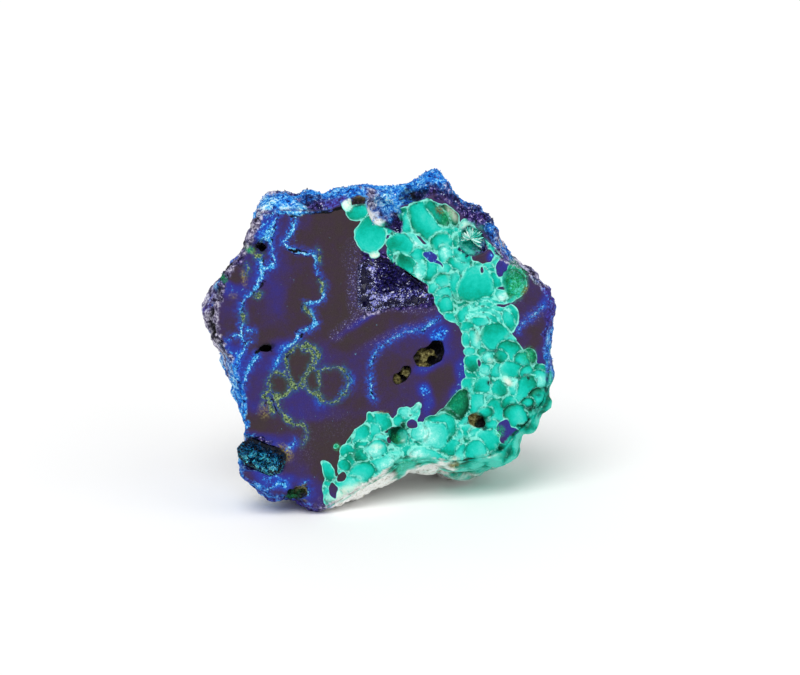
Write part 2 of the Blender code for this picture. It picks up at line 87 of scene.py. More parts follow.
TO_FACE = (seen_from_front() @ Matrix.Rotation(LEAN, 4, "X") @ Matrix.Scale(1.0 / MM, 4)
           @ Matrix.Translation(-FACE_FOOT))
FROM_FACE = TO_FACE.inverted()
FACE_MIDDLE = np.array([-1.0, 30.0])
NOWHERE = 40.0  # a distance in millimetres that no marking reaches

Points = np.ndarray
Colour = tuple[float, float, float]
Stops = tuple[tuple[float, Colour], ...]
Layers = tuple[tuple[float, float, float], ...]


# ---------------------------------------------------------------- the drawing


@dataclass(frozen=True)
class Drawing:
    """The grid that the markings are drawn on, seen from the front.

    Its steps run right and down from a corner above and to the left of the stone.
    """

    step: float = 0.2
    left: float = -76.0
    top: float = 102.8

    def place(self, points: Sequence[tuple[float, float]]) -> Points:
        """Turns drawn points into face x and z.

        Args:
            points: Pairs counted right and down on the grid.

        Returns:
            One row of x and z in millimetres for each point.
        """
        drawn = np.asarray(points, float)
        return np.stack([self.left + self.step * drawn[:, 0], self.top - self.step * drawn[:, 1]], axis=1)

    def middles(self, marks: Sequence[Spot | Patch]) -> Points:
        """Face x and z of the middles of drawn marks."""
        return self.place([(mark.x, mark.y) for mark in marks])


DRAWING = Drawing()


def rows(kind: type, *values: tuple) -> tuple:
    """One object of a kind from each row of its values."""
    return tuple(kind(*row) for row in values)


@dataclass(frozen=True)
class Spot:
    """A soft oval: middle and half sizes on the grid, tone or strength, and turn in degrees."""

    x: float
    y: float
    wide: float
    high: float
    tone: float = 0.0
    turn: float = 0.0


@dataclass(frozen=True)
class Cell(Spot):
    """A malachite knob cut through by the saw.

    glow is how much paler its middle is than its rim, a painted highlight
    on its dome, and sunk how far in millimetres its rim lies behind the
    sawn plane.
    """

    glow: float = 0.0
    sunk: float = 0.0


class VeinKind(Enum):
    """What fills a vein in the azurite."""

    CYAN = "cyan_vein"
    OLIVE = "olive_vein"
    # Dark cracks, and one painted shadow line under the top band.
    CRACK = "crack"


@dataclass(frozen=True)
class Vein:
    """A drawn line with its half width in grid steps.

    glow is the side that the blue beside it lies on: 1 to the left of the way
    that it is drawn, -1 to the right and 0 on both.  inside is the tone within
    a closed vein.
    """

    half: float
    points: tuple[tuple[float, float], ...]
    glow: int = 0
    inside: float | None = None


class SkinKind(Enum):
    """The minerals that the rough skin shows."""

    BLUE = "skin_blue"
    INDIGO = "skin_indigo"
    FROST = "skin_frost"
    LAVENDER = "skin_lavender"
    VIOLET = "skin_violet"
    MALACHITE = "skin_malachite"
    MATRIX = "skin_matrix"
    OCHRE = "skin_ochre"
    BLACK = "skin_black"


@dataclass(frozen=True)
class Patch:
    """A round place on the skin: drawn x and y, depth and reach in millimetres, and weight."""

    x: float
    y: float
    depth: float
    reach: float
    weight: float = 1.0


BROWN, PLUM, PURPLE, VIOLET, ELECTRIC, SKY = 0.02, 0.16, 0.32, 0.48, 0.76, 1.0

AZURITE_SPOTS = rows(
    Spot,
    (330, 228, 26, 22, BROWN), (322, 262, 12, 26, PLUM), (344, 276, 14, 30, BROWN),
    (338, 318, 16, 22, BROWN, -10), (360, 336, 24, 10, BROWN, -22), (400, 318, 26, 6, PLUM, -8),
    (430, 316, 10, 5, PURPLE, -20), (300, 262, 10, 18, PLUM, 10), (283, 268, 9, 14, PURPLE),
    (276, 300, 12, 18, VIOLET), (262, 318, 10, 24, PLUM), (297, 300, 10, 16, BROWN),
    (290, 328, 14, 12, PLUM), (268, 338, 14, 8, BROWN), (280, 246, 6, 6, PURPLE), (308, 222, 6, 10, PURPLE),
    (262, 226, 12, 9, ELECTRIC), (284, 224, 6, 9, PURPLE), (246, 252, 8, 8, VIOLET),
    (262, 262, 8, 8, PURPLE), (252, 276, 9, 8, VIOLET), (238, 268, 6, 6, PLUM), (239, 279, 5, 5, BROWN),
    (232, 290, 9, 6, ELECTRIC), (234, 308, 9, 9, PURPLE), (234, 330, 7, 12, PLUM),
    (232, 352, 7, 8, ELECTRIC), (222, 300, 4, 20, PURPLE), (266, 366, 12, 10, VIOLET, 30),
    (250, 386, 8, 14, PURPLE, 15), (238, 386, 4, 16, ELECTRIC, 10), (280, 344, 8, 6, ELECTRIC),
    (256, 404, 10, 8, VIOLET), (242, 420, 8, 10, PLUM), (262, 424, 16, 8, BROWN, 8),
    (278, 426, 8, 10, PLUM), (264, 438, 20, 5, ELECTRIC, 12), (286, 440, 10, 6, VIOLET),
    (298, 430, 8, 8, PLUM), (300, 408, 10, 10, VIOLET), (318, 412, 12, 8, VIOLET), (350, 399, 9, 10, BROWN),
    (299, 398, 8, 8, VIOLET), (334, 352, 12, 8, PURPLE, 40), (322, 358, 7, 7, VIOLET),
    (356, 366, 8, 22, PURPLE), (358, 396, 10, 12, PLUM), (340, 412, 16, 6, PURPLE, -20),
    (338, 440, 20, 20, BROWN), (320, 452, 18, 22, BROWN), (300, 466, 10, 14, PURPLE),
    (308, 492, 14, 12, VIOLET), (326, 500, 8, 8, PURPLE), (270, 478, 10, 5, ELECTRIC, 30),
    (280, 494, 12, 6, PURPLE, 20), (292, 478, 6, 4, ELECTRIC), (388, 360, 16, 16, 0.2),
    (382, 376, 12, 18, 0.12), (404, 346, 14, 9, PURPLE, -10), (392, 396, 18, 12, 0.25),
    (410, 400, 12, 10, PURPLE), (442, 382, 9, 13, 0.1), (452, 340, 6, 14, PURPLE),
    (442, 334, 8, 5, SKY, -20), (448, 346, 5, 8, ELECTRIC), (430, 366, 10, 4, ELECTRIC, -20),
    (424, 391, 6, 5, SKY), (428, 405, 5, 9, ELECTRIC), (463, 378, 5, 12, ELECTRIC, -10),
    (455, 393, 5, 6, ELECTRIC), (448, 404, 8, 6, PURPLE), (440, 412, 10, 4, PURPLE),
    (420, 420, 8, 6, VIOLET), (528, 300, 12, 12, 0.26), (536, 330, 9, 14, 0.12, 30),
    (550, 326, 5, 22, VIOLET), (526, 320, 9, 6, PURPLE, -30), (522, 342, 5, 8, PURPLE),
    (546, 356, 7, 7, VIOLET), (548, 302, 5, 6, ELECTRIC), (510, 430, 9, 8, 0.62), (507, 442, 7, 5, 0.4),
    # The small sky-blue spot at (490, 256) is a painted sheen on the polished purple patch beside it.
    (481, 254, 8, 7, PLUM), (490, 256, 3, 3.4, SKY), (506, 266, 7, 9, 0.62), (396, 224, 6, 9, VIOLET),
    (396, 432, 10, 6, PLUM), (462, 248, 8, 9, VIOLET), (430, 257, 8, 6, ELECTRIC), (375, 208, 10, 6, PLUM),
    (378, 340, 16, 4, VIOLET, -24), (412, 330, 16, 4, VIOLET, -12), (354, 326, 20, 3, SKY, -34),
)

VEINS = {
    VeinKind.CYAN: (
        Vein(2.2, ((278, 217), (275, 226), (274, 234), (270, 241), (265, 240), (262, 246))),
        Vein(1.6, ((270, 241), (273, 247), (273, 254), (276, 262), (273, 268))),
        Vein(2.6, ((261, 258), (263, 266), (264, 275), (261, 281), (259, 286), (255, 291), (250, 297),
             (246, 301), (243, 305)), -1),
        Vein(1.6, ((243, 305), (242, 311), (244, 317), (243, 326), (243, 335), (245, 341), (246, 347),
             (244, 353), (240, 359), (237, 366), (234, 373))),
        Vein(2.0, ((297, 214), (295, 222), (294, 229), (291, 236), (287, 241), (284, 244))),
        Vein(1.5, ((285, 243), (290, 250), (299, 253), (307, 255), (314, 253), (317, 260), (315, 267),
             (317, 274), (321, 280), (324, 289), (324, 297), (319, 302), (314, 304), (309, 303),
             (305, 306)), 1),
        Vein(2.4, ((305, 306), (310, 311), (314, 316), (316, 322), (313, 327), (307, 329), (301, 332),
             (298, 338), (294, 343)), 1),
        Vein(1.4, ((294, 343), (288, 346), (284, 350), (281, 357), (277, 363), (274, 370))),
        Vein(1.8, ((258, 355), (254, 362), (250, 368), (246, 375), (245, 384), (242, 392), (238, 400))),
        Vein(1.2, ((232, 372), (231, 381), (234, 390), (238, 397), (242, 404))),
        Vein(1.0, ((231, 358), (233, 366), (235, 374))), Vein(1.0, ((248, 330), (254, 332))),
        Vein(1.2, ((246, 344), (252, 341))), Vein(0.8, ((228, 341), (234, 337), (241, 334))),
        Vein(1.6, ((288, 449), (292, 445), (296, 441))),
        Vein(1.6, ((262, 487), (268, 490), (274, 486), (280, 483), (286, 485))),
        Vein(1.2, ((306, 482), (303, 488), (308, 493), (300, 500))),
        Vein(2.6, ((348, 376), (350, 382), (348, 387))), Vein(1.0, ((346, 391), (341, 396))),
        Vein(1.2, ((318, 398), (320, 403))), Vein(2.2, ((261, 262), (266, 270), (273, 266), (276, 258))),
        Vein(2.6, ((276, 222), (272, 232), (268, 240))), Vein(1.8, ((262, 272), (266, 274))),
        Vein(1.3, ((438, 319), (433, 322), (428, 325), (422, 330))),
        Vein(0.7, ((422, 330), (414, 331), (405, 331), (400, 335), (394, 337), (388, 342), (379, 348),
             (375, 354), (372, 360), (371, 366))),
        Vein(0.6, ((371, 374), (370, 384), (371, 394), (374, 400))),
        Vein(0.9, ((532, 318), (538, 312), (545, 305), (549, 303))),
        Vein(0.7, ((519, 330), (524, 322), (531, 316))),
    ),
    VeinKind.OLIVE: (
        Vein(1.3, ((287, 354), (286, 364), (289, 374), (292, 383), (296, 387), (301, 384), (304, 377),
             (309, 370), (312, 363), (314, 356), (312, 352), (308, 351), (304, 352), (301, 348), (297, 346),
             (294, 350), (287, 354)), inside=BROWN),
        Vein(2.6, ((303, 347), (309, 345), (315, 346), (319, 351), (319, 358), (316, 364), (312, 369))),
        Vein(1.0, ((269, 378), (269, 386), (271, 392), (276, 396), (284, 396), (290, 391), (291, 384),
             (288, 377), (282, 373), (277, 372), (272, 374), (269, 378)), inside=BROWN),
        Vein(1.0, ((304, 378), (305, 384), (309, 391), (314, 394), (319, 392), (320, 385), (320, 378),
             (318, 371), (312, 368), (306, 373), (304, 378)), inside=BROWN),
        Vein(0.7, ((319, 371), (319, 381), (319, 391), (321, 397), (326, 402), (332, 404), (339, 400),
             (345, 393), (348, 386), (348, 378), (344, 371), (337, 367), (330, 369), (325, 367),
             (319, 371)), inside=PLUM),
        Vein(1.8, ((318, 395), (321, 400))), Vein(1.6, ((300, 386), (306, 388))),
        Vein(1.6, ((292, 388), (297, 388))), Vein(1.6, ((284, 374), (287, 370))),
        Vein(2.4, ((248, 247), (252, 251))), Vein(2.0, ((257, 257), (262, 256))),
        Vein(2.4, ((342, 368), (345, 371), (347, 376))),
        Vein(1.4, ((263, 404), (264, 396), (268, 391), (271, 385))),
        Vein(3.4, ((277, 396), (279, 403), (282, 409), (285, 414), (289, 420))),
        Vein(1.0, ((289, 420), (292, 425), (300, 423), (305, 427), (307, 433), (305, 440), (302, 445))),
        Vein(2.0, ((268, 398), (271, 404), (273, 412))), Vein(1.6, ((252, 249), (256, 256))),
        Vein(1.4, ((243, 314), (246, 320), (246, 316))), Vein(1.0, ((256, 297), (262, 293), (259, 298))),
        Vein(1.3, ((248, 264), (250, 271), (247, 276))), Vein(1.0, ((318, 250), (320, 256), (321, 262))),
        Vein(1.2, ((320, 281), (324, 286), (323, 291))), Vein(1.0, ((306, 306), (309, 312), (312, 317))),
    ),
    VeinKind.CRACK: (
        Vein(0.6, ((271, 397), (275, 405), (280, 413))), Vein(0.6, ((266, 396), (268, 408))),
        # This line is not one of the cracks but a painted shadow where the face meets the overhanging top
        # band.
        Vein(1.3, ((292, 217), (301, 216), (312, 214.5), (324, 213), (334, 211), (345, 209))),
        Vein(0.9, ((260, 290), (264, 284), (267, 279))),
        Vein(1.5, ((257, 352), (262, 349), (267, 350), (272, 351))),
        Vein(0.7, ((290, 251), (296, 252), (300, 251), (308, 253))), Vein(0.8, ((301, 338), (304, 334))),
        Vein(0.8, ((287, 357), (291, 354))), Vein(0.8, ((370, 391), (373, 394))),
        Vein(0.7, ((242, 312), (244, 308))),
    ),
}

UPPER_BAND = (
    (384, 222), (396, 214), (406, 211), (414, 206), (431, 201), (445, 206), (456, 214), (460, 224),
    (473, 222), (480, 232), (488, 242), (506, 254), (520, 266), (527, 276), (528, 286), (523, 296),
    (510, 303), (512, 312), (514, 322), (511, 331), (517, 340), (524, 350), (535, 352), (537, 362),
    (545, 367), (556, 373), (566, 400), (556, 474), (470, 530), (338, 540), (323, 500), (322, 485),
    (326, 478), (337, 476), (338, 462), (341, 450), (348, 440), (354, 430), (364, 424), (368, 414),
    (378, 411), (388, 413), (394, 420), (398, 412), (410, 408), (420, 404), (420, 416), (416, 424),
    (421, 426), (428, 420), (434, 415), (446, 415), (454, 409), (458, 400), (465, 393), (461, 388),
    (466, 378), (464, 366), (466, 358), (472, 354), (468, 344), (463, 334), (456, 323), (446, 318),
    (438, 312), (434, 298), (428, 286), (418, 278), (404, 273), (392, 266), (387, 256), (387, 244),
    (390, 236),
)

ROUGH_AREAS = (
    ((392, 180), (440, 168), (500, 222), (532, 258), (524, 268), (510, 260), (498, 250), (488, 244),
     (482, 234), (474, 226), (466, 218), (458, 211), (446, 203), (430, 197), (414, 200), (404, 204),
     (394, 207), (386, 205), (372, 206)),
    ((362, 250), (366, 246), (384, 252), (402, 262), (424, 274), (436, 296), (440, 305), (424, 307),
     (396, 309), (372, 314), (362, 317), (361, 300), (360, 282), (363, 266)),
    ((454, 236), (459, 231), (464, 237), (463, 246), (468, 253), (462, 258), (455, 252)),
    ((252, 190), (340, 180), (352, 200), (345, 209), (330, 212), (312, 214), (300, 216), (285, 216.5),
     (264, 215), (262, 222), (258, 233), (253, 244), (247, 254), (236, 260), (234, 240)),
)

AZURITE_GAPS = rows(
    Spot,
    (396, 223, 5.5, 9, 0, -10), (395, 431, 9, 2.6, 0, -8), (412, 425, 5, 4.5), (505, 428, 7, 8, 0, 20),
    (514, 435, 8, 6), (507, 440, 7, 6), (430, 256, 7, 4.5, 0, 35), (438, 263, 5, 1.5, 0, 40),
    (484, 256, 11, 7, 0, -10), (503, 266, 6, 10, 0, 24), (389, 441, 2.5, 3), (421, 240, 6, 1.6, 0, 40),
    (503, 304, 7, 1.4, 0, -6), (503, 288, 4, 1.4, 0, -5), (480, 363, 1.8, 4, 0, 10), (481, 270, 1.8, 3.6),
    (342, 478, 3.5, 5, 0, 20), (333, 490, 4.5, 8, 0, -10),
)

# The dark cells at (438, 214) and (448, 216) are partly real dark green and partly painted shadow at the
# upper right of the big cell, and the dark funnel at (456, 409) is partly painted shade in its hollow.
MALACHITE_CELLS = rows(
    Cell,
    (403, 213, 10, 5, 0.26, -24), (406, 226, 7, 13, 0.52, 18, 0.1), (448, 216, 8, 14, 0.1, -38, 0.1, 0.6),
    (430, 223, 24, 14, 0.46, 42, 0.24, 0.3), (438, 214, 5, 15, 0.2, -40, 0.16, 0.2),
    (441, 243, 10, 9, 0.42, 0, 0.25), (446, 255, 6.5, 9, 0.62, 10, 0.32, 0.2),
    (416, 242, 12, 6.5, 0.86, 28, 0.06), (400, 245, 13, 13, 0.5, 0, -0.1),
    (418, 258, 7, 8.5, 0.5, 10, 0.1, 0.3), (408, 264, 13, 6, 0.44, 25, -0.12),
    (430, 271, 8.5, 10, 0.48, 0, 0.12, 0.4), (421, 270, 5, 8, 0.84), (458, 266, 10, 8, 0.55, 20, 0.1, 0.3),
    (445, 270, 6, 6, 0.62, 0, 0.1), (443, 283, 9, 8, 0.6, 0, 0.16, 0.5), (432, 289, 6, 6, 0.6, 0, 0.1, 0.3),
    (446, 294, 9, 7, 0.64, 0, 0.12, 0.4), (440, 303, 7, 7, 0.66), (446, 306, 8.5, 9, 0.5, 0, 0.12, 0.4),
    (453, 317, 9, 5, 0.54, 20, 0, 0.2), (474, 267, 4, 4.5, 0.42), (466, 226, 7, 6, 0.7, 0, 0.1, 0.5),
    (473, 238, 8, 9, 0.52, 0, 0.06, 0.6), (499, 253, 4, 4.5, 0.9), (464, 258, 7, 5, 0.72, 0, 0, 0.4),
    (484, 268, 9, 5, 0.6, 10), (456, 286, 5.5, 13, 0.52, -14), (494, 279, 9.5, 9.5, 0.68),
    (495, 280, 6.5, 7.5, 0.42, -20, 0.05), (494, 297, 18, 6.8, 0.62, -12, 0.06),
    (504, 293, 8, 6, 0.86, -20, 0.05), (476, 286, 15.5, 17, 0.5, 0, 0.02), (464, 306, 6.5, 3.6, 0.4, 10),
    (470, 316, 12, 9, 0.7, 0, 0.08, 0.3), (494, 317, 22, 15, 0.6, 8, 0.02),
    (490, 318, 19, 12.5, 0.74, 8, 0.04), (486, 319, 16, 10, 0.62, 8, 0.06),
    (483, 320, 13, 7.5, 0.78, 6, 0.04), (480, 321, 9, 5, 0.6, 4, 0.04),
    (509, 320, 5.5, 13, 0.52, -24, 0.08), (468, 327, 8.5, 7.5, 0.5),
    (475, 341, 6.5, 12, 0.74, -8, 0.1, 0.5), (466, 338, 5, 8, 0.66, 0, 0, 0.3),
    (496, 337, 12.5, 12, 0.5, 0, 0.02), (512, 341, 6, 6, 0.62, 20, 0, 0.3),
    (470, 351, 6, 6, 0.66, 0, 0.1, 0.4), (482, 352, 5.5, 5, 0.42, 0, 0, 0.4),
    (490, 358, 7, 6, 0.74, 0, 0.1, 0.6), (510, 354, 11.5, 11, 0.5, 20, 0.06, 0.3),
    (502, 358, 6, 5, 0.34, 30, 0, 0.2), (530, 357, 8, 8, 0.26, 0, 0.05, 0.5),
    (523, 362, 7, 9, 0.58, 0, 0.12, 0.5), (473, 363, 9, 9, 0.44, 0, -0.06, 0.3),
    (487, 371, 7, 6, 0.74, 0, 0.1, 0.3), (499, 372, 8, 7, 0.66, 0, 0.1, 0.4),
    (514, 371, 11, 8, 0.48, 10, 0.04, 0.3), (528, 372, 7, 7, 0.56, 0, 0.12, 0.5),
    (541, 368, 8, 6, 0.28, 0, 0.1, 0.5), (548, 376, 8, 7, 0.58, 0, 0.2, 0.6),
    (540, 380, 9, 9, 0.6, 0, 0.26, 0.4), (529, 379, 4, 4, 0.66, 0, -0.6, 0.8),
    (469, 385, 8.5, 7.5, 0.55, 10), (483, 388, 10, 8.5, 0.5, 0, 0.02), (501, 390, 7, 9.5, 0.38, 10),
    (509, 382, 6.5, 3.6, 0.95, 40), (516, 389, 7, 8, 0.68, 0, 0.18, 0.2),
    (527, 391, 8, 14, 0.5, 22, 0.05, 0.2), (478, 403, 13, 10, 0.58, 0, 0.14),
    (492, 400, 5, 6, 0.76, 0, 0, 0.3), (499, 411, 12.5, 11, 0.5, 0, 0.05),
    (511, 404, 7, 6, 0.44, 0, 0, 0.2), (486, 413, 6, 5, 0.5, 0, 0, 0.3),
    (541, 399, 11, 9.5, 0.36, 0, 0.24, 0.8), (530, 406, 7, 7, 0.34, 0, 0.2, 0.9),
    (533, 421, 8.5, 10, 0.46, 0, 0.2, 0.8), (518, 418, 11, 12, 0.46, 0, 0.24, 0.7),
    (524, 432, 7, 6, 0.4, 0, 0.2, 0.8), (475, 424, 5, 5, 0.8, 0, 0, 0.4), (469, 432, 6.5, 6, 0.58),
    (478, 434, 7, 5, 0.6, 0, 0.1, 0.2), (492, 428, 7, 6, 0.62, 0, 0, 0.2),
    (490, 444, 13, 11.5, 0.5, 0, 0.04), (504, 434, 4, 5, 0.34), (512, 450, 10, 6.5, 0.58, 0, 0.14, 0.6),
    (500, 456, 8, 4, 0.8, 0, 0, 0.7), (458, 436, 5, 5, 0.64), (450, 449, 10, 8, 0.42, 0, 0.05),
    (464, 455, 7, 8, 0.64, 0, 0.1, 0.2), (477, 453, 10, 11.5, 0.56, 0, 0.12),
    (456, 409, 12, 21, 0.08, 28, 0.16, 0.6), (446, 421, 13, 12, 0.2, 30, 0.2, 0.5),
    (441, 429, 18, 16, 0.42, 0, 0.2, 0.5), (434, 436, 16, 14.5, 0.8, 10, 0.1, 0.1),
    (406, 412, 9, 6, 0.84, -15, 0, 0.2), (416, 409, 8, 3.4, 0.86, -40, 0, 0.2),
    (399, 421, 6, 6, 0.52, 0, 0.04, 0.1), (406, 427, 4, 4, 0.22, 0, 0, 0.6),
    (381, 422, 12.5, 9.5, 0.5, 10, 0.02), (370, 420, 4.5, 7, 0.52), (373, 433, 8, 8.5, 0.58, 0, 0.06, 0.1),
    (361, 435, 6.5, 10.5, 0.54, 24, 0.03), (363, 445, 8, 4.5, 0.5), (348, 452, 7, 9, 0.42, 15),
    (353, 462, 7, 7, 0.4), (362, 456, 6.5, 8, 0.38, 0, 0, 0.2), (344, 466, 6, 6, 0.44),
    (399, 440, 8.5, 7.5, 0.56, 0, -0.4, 0.5), (384, 440, 7, 5, 0.74, 0, 0, 0.3),
    (378, 450, 10.5, 7.5, 0.76, -8, 0.14, 0.4), (419, 433, 8.5, 10.5, 0.84, 22, 0.04, 0.1),
    (404, 453, 15, 5, 0.56, -24, 0, 0.4), (410, 463, 15, 5.5, 0.2, 0, 0.1, 1.0),
    (392, 458, 10, 5, 0.6, -30, 0.1, 0.5), (426, 457, 15, 7.5, 0.82, 12, 0.06, 0.2),
    (380, 466, 17, 7, 0.8, -24, 0.06, 0.3), (405, 470, 7, 6, 0.26, 0, 0.1, 0.9),
    (362, 473, 11.5, 9, 0.58, -10, 0.1, 0.4), (348, 486, 13, 8, 0.7, -20, 0.14, 0.4),
    (336, 497, 8, 6, 0.74, 0, 0.1, 0.4), (442, 467, 16, 5, 0.78, -4, 0, 0.3),
    (328, 470, 6, 11, 0.5, -24, 0.02), (336.6, 446.6, 3.4, 3, 0.4, 0, -0.1), (387, 229, 5, 6, 0.48),
    (376, 255, 5, 3.4, 0.95), (371, 236, 16.5, 18.5, 0.52, 0, 0.02), (357.5, 213, 11.5, 8.5, 0.44, -16),
    (348, 205, 5, 8, 0.97, 10),
)

SOFT_SPOTS = {
    "cream": rows(
        Spot,
        (381, 218, 11, 4.5, 1.0, 36), (348, 202, 4.5, 7, 0.9), (376, 256, 5, 3, 0.8),
        (478, 338, 2.4, 5, 0.3), (491, 361, 3, 2.4, 0.4), (456, 462, 4, 3.5, 0.7),
        (509, 382, 5, 2.6, 0.75, 40), (377, 447, 5, 2.2, 0.5), (342, 494, 12, 5, 0.7, -24),
        (466, 226, 5, 4, 0.5), (494, 458, 9, 2.4, 0.6), (354, 490, 10, 4, 0.6, -24),
        (476, 424, 4, 3.4, 0.6), (452, 213, 3, 8, 0.5, -30),
    ),
    "leaf": rows(
        Spot,
        (252, 251, 3.4, 2.6, 0.8), (296, 495, 8, 3, 0.5, -20), (227, 280, 2.4, 3, 0.7),
        (517, 281, 8.5, 15, 1.0, 8), (447, 217, 5, 8, 0.7, 20), (405, 470, 6, 5, 0.5),
        (458, 404, 7, 14, 0.35, 28), (530, 356, 6, 7, 0.7), (399, 440, 4, 4, 0.8), (501, 432, 4, 4.5, 1.0),
        (337, 447, 3, 3, 0.8), (410, 463, 12, 4, 0.4),
    ),
    "ochre": rows(
        Spot,
        (525, 290, 2, 5, 1.0, 30), (440, 211, 4, 3, 0.8, 40), (382, 412.5, 5, 1.2, 0.8),
        (477, 418, 5, 3, 0.9, 30), (285, 452, 5, 8, 1.0, -40), (246, 279, 2.6, 6.5, 0.7, -8),
        (235, 296, 4, 3, 0.35), (362, 199, 5, 3, 0.6), (265, 410, 5, 7, 0.5), (400, 442, 2.4, 2.4, 0.6),
        (255, 251, 3, 4, 0.6),
    ),
    # Dark marks on the face; those at (536, 410), (540, 396), (549, 391), (545, 417) and (524, 441) are
    # painted shade in the notches between the right knobs, and those at (432, 208) and (440, 214) painted
    # shadow beside the top cell.
    "dark": rows(
        Spot,
        (262, 247, 7, 6, 1.0), (268, 347, 7, 3.4, 1.0, -6), (485, 421, 5, 2.8, 1.0),
        (485, 428, 3, 2.6, 0.9), (490, 383, 2.4, 2.6, 1.0), (529.5, 378.5, 1.6, 2, 1.0),
        (360, 203, 8, 4.4, 0.9), (536, 410, 7, 2.6, 0.9, 15), (549, 391, 5, 1.8, 0.9, -20),
        (545, 417, 4, 1.6, 0.8, -24), (524, 441, 3, 1.6, 0.8, -30), (395, 431, 7, 2.2, 0.8, -8),
        (402, 427, 3, 3, 0.5), (298, 493, 10, 5, 0.7, -20), (456, 468, 3, 3, 0.8),
        (432, 208, 4, 3, 0.3, 20), (440, 214, 5, 3, 0.5, 50), (540, 396, 3, 2, 0.6),
        (389, 226, 1.6, 4, 0.7), (388, 216, 3, 3, 0.6, 40), (242, 252, 4, 5, 0.5),
    ),
    "sparkle": rows(
        Spot,
        (362, 258, 14, 16, 0.55), (356, 288, 7, 26, 0.9), (372, 306, 16, 7, 0.9, -8),
        (410, 306, 20, 6, 0.9, 4), (352, 322, 14, 4, 0.8, -28), (400, 264, 14, 8, 0.5, 20),
        (336, 336, 6, 5, 0.7), (396, 334, 30, 5, 0.45, -22), (336, 424, 16, 12, 0.12),
        (306, 440, 10, 26, 0.12), (514, 302, 8, 3, 0.5, -10), (534, 316, 16, 5, 0.6, -32),
        (328, 504, 10, 6, 0.6), (384, 215, 12, 7, 0.4, 36),
    ),
}

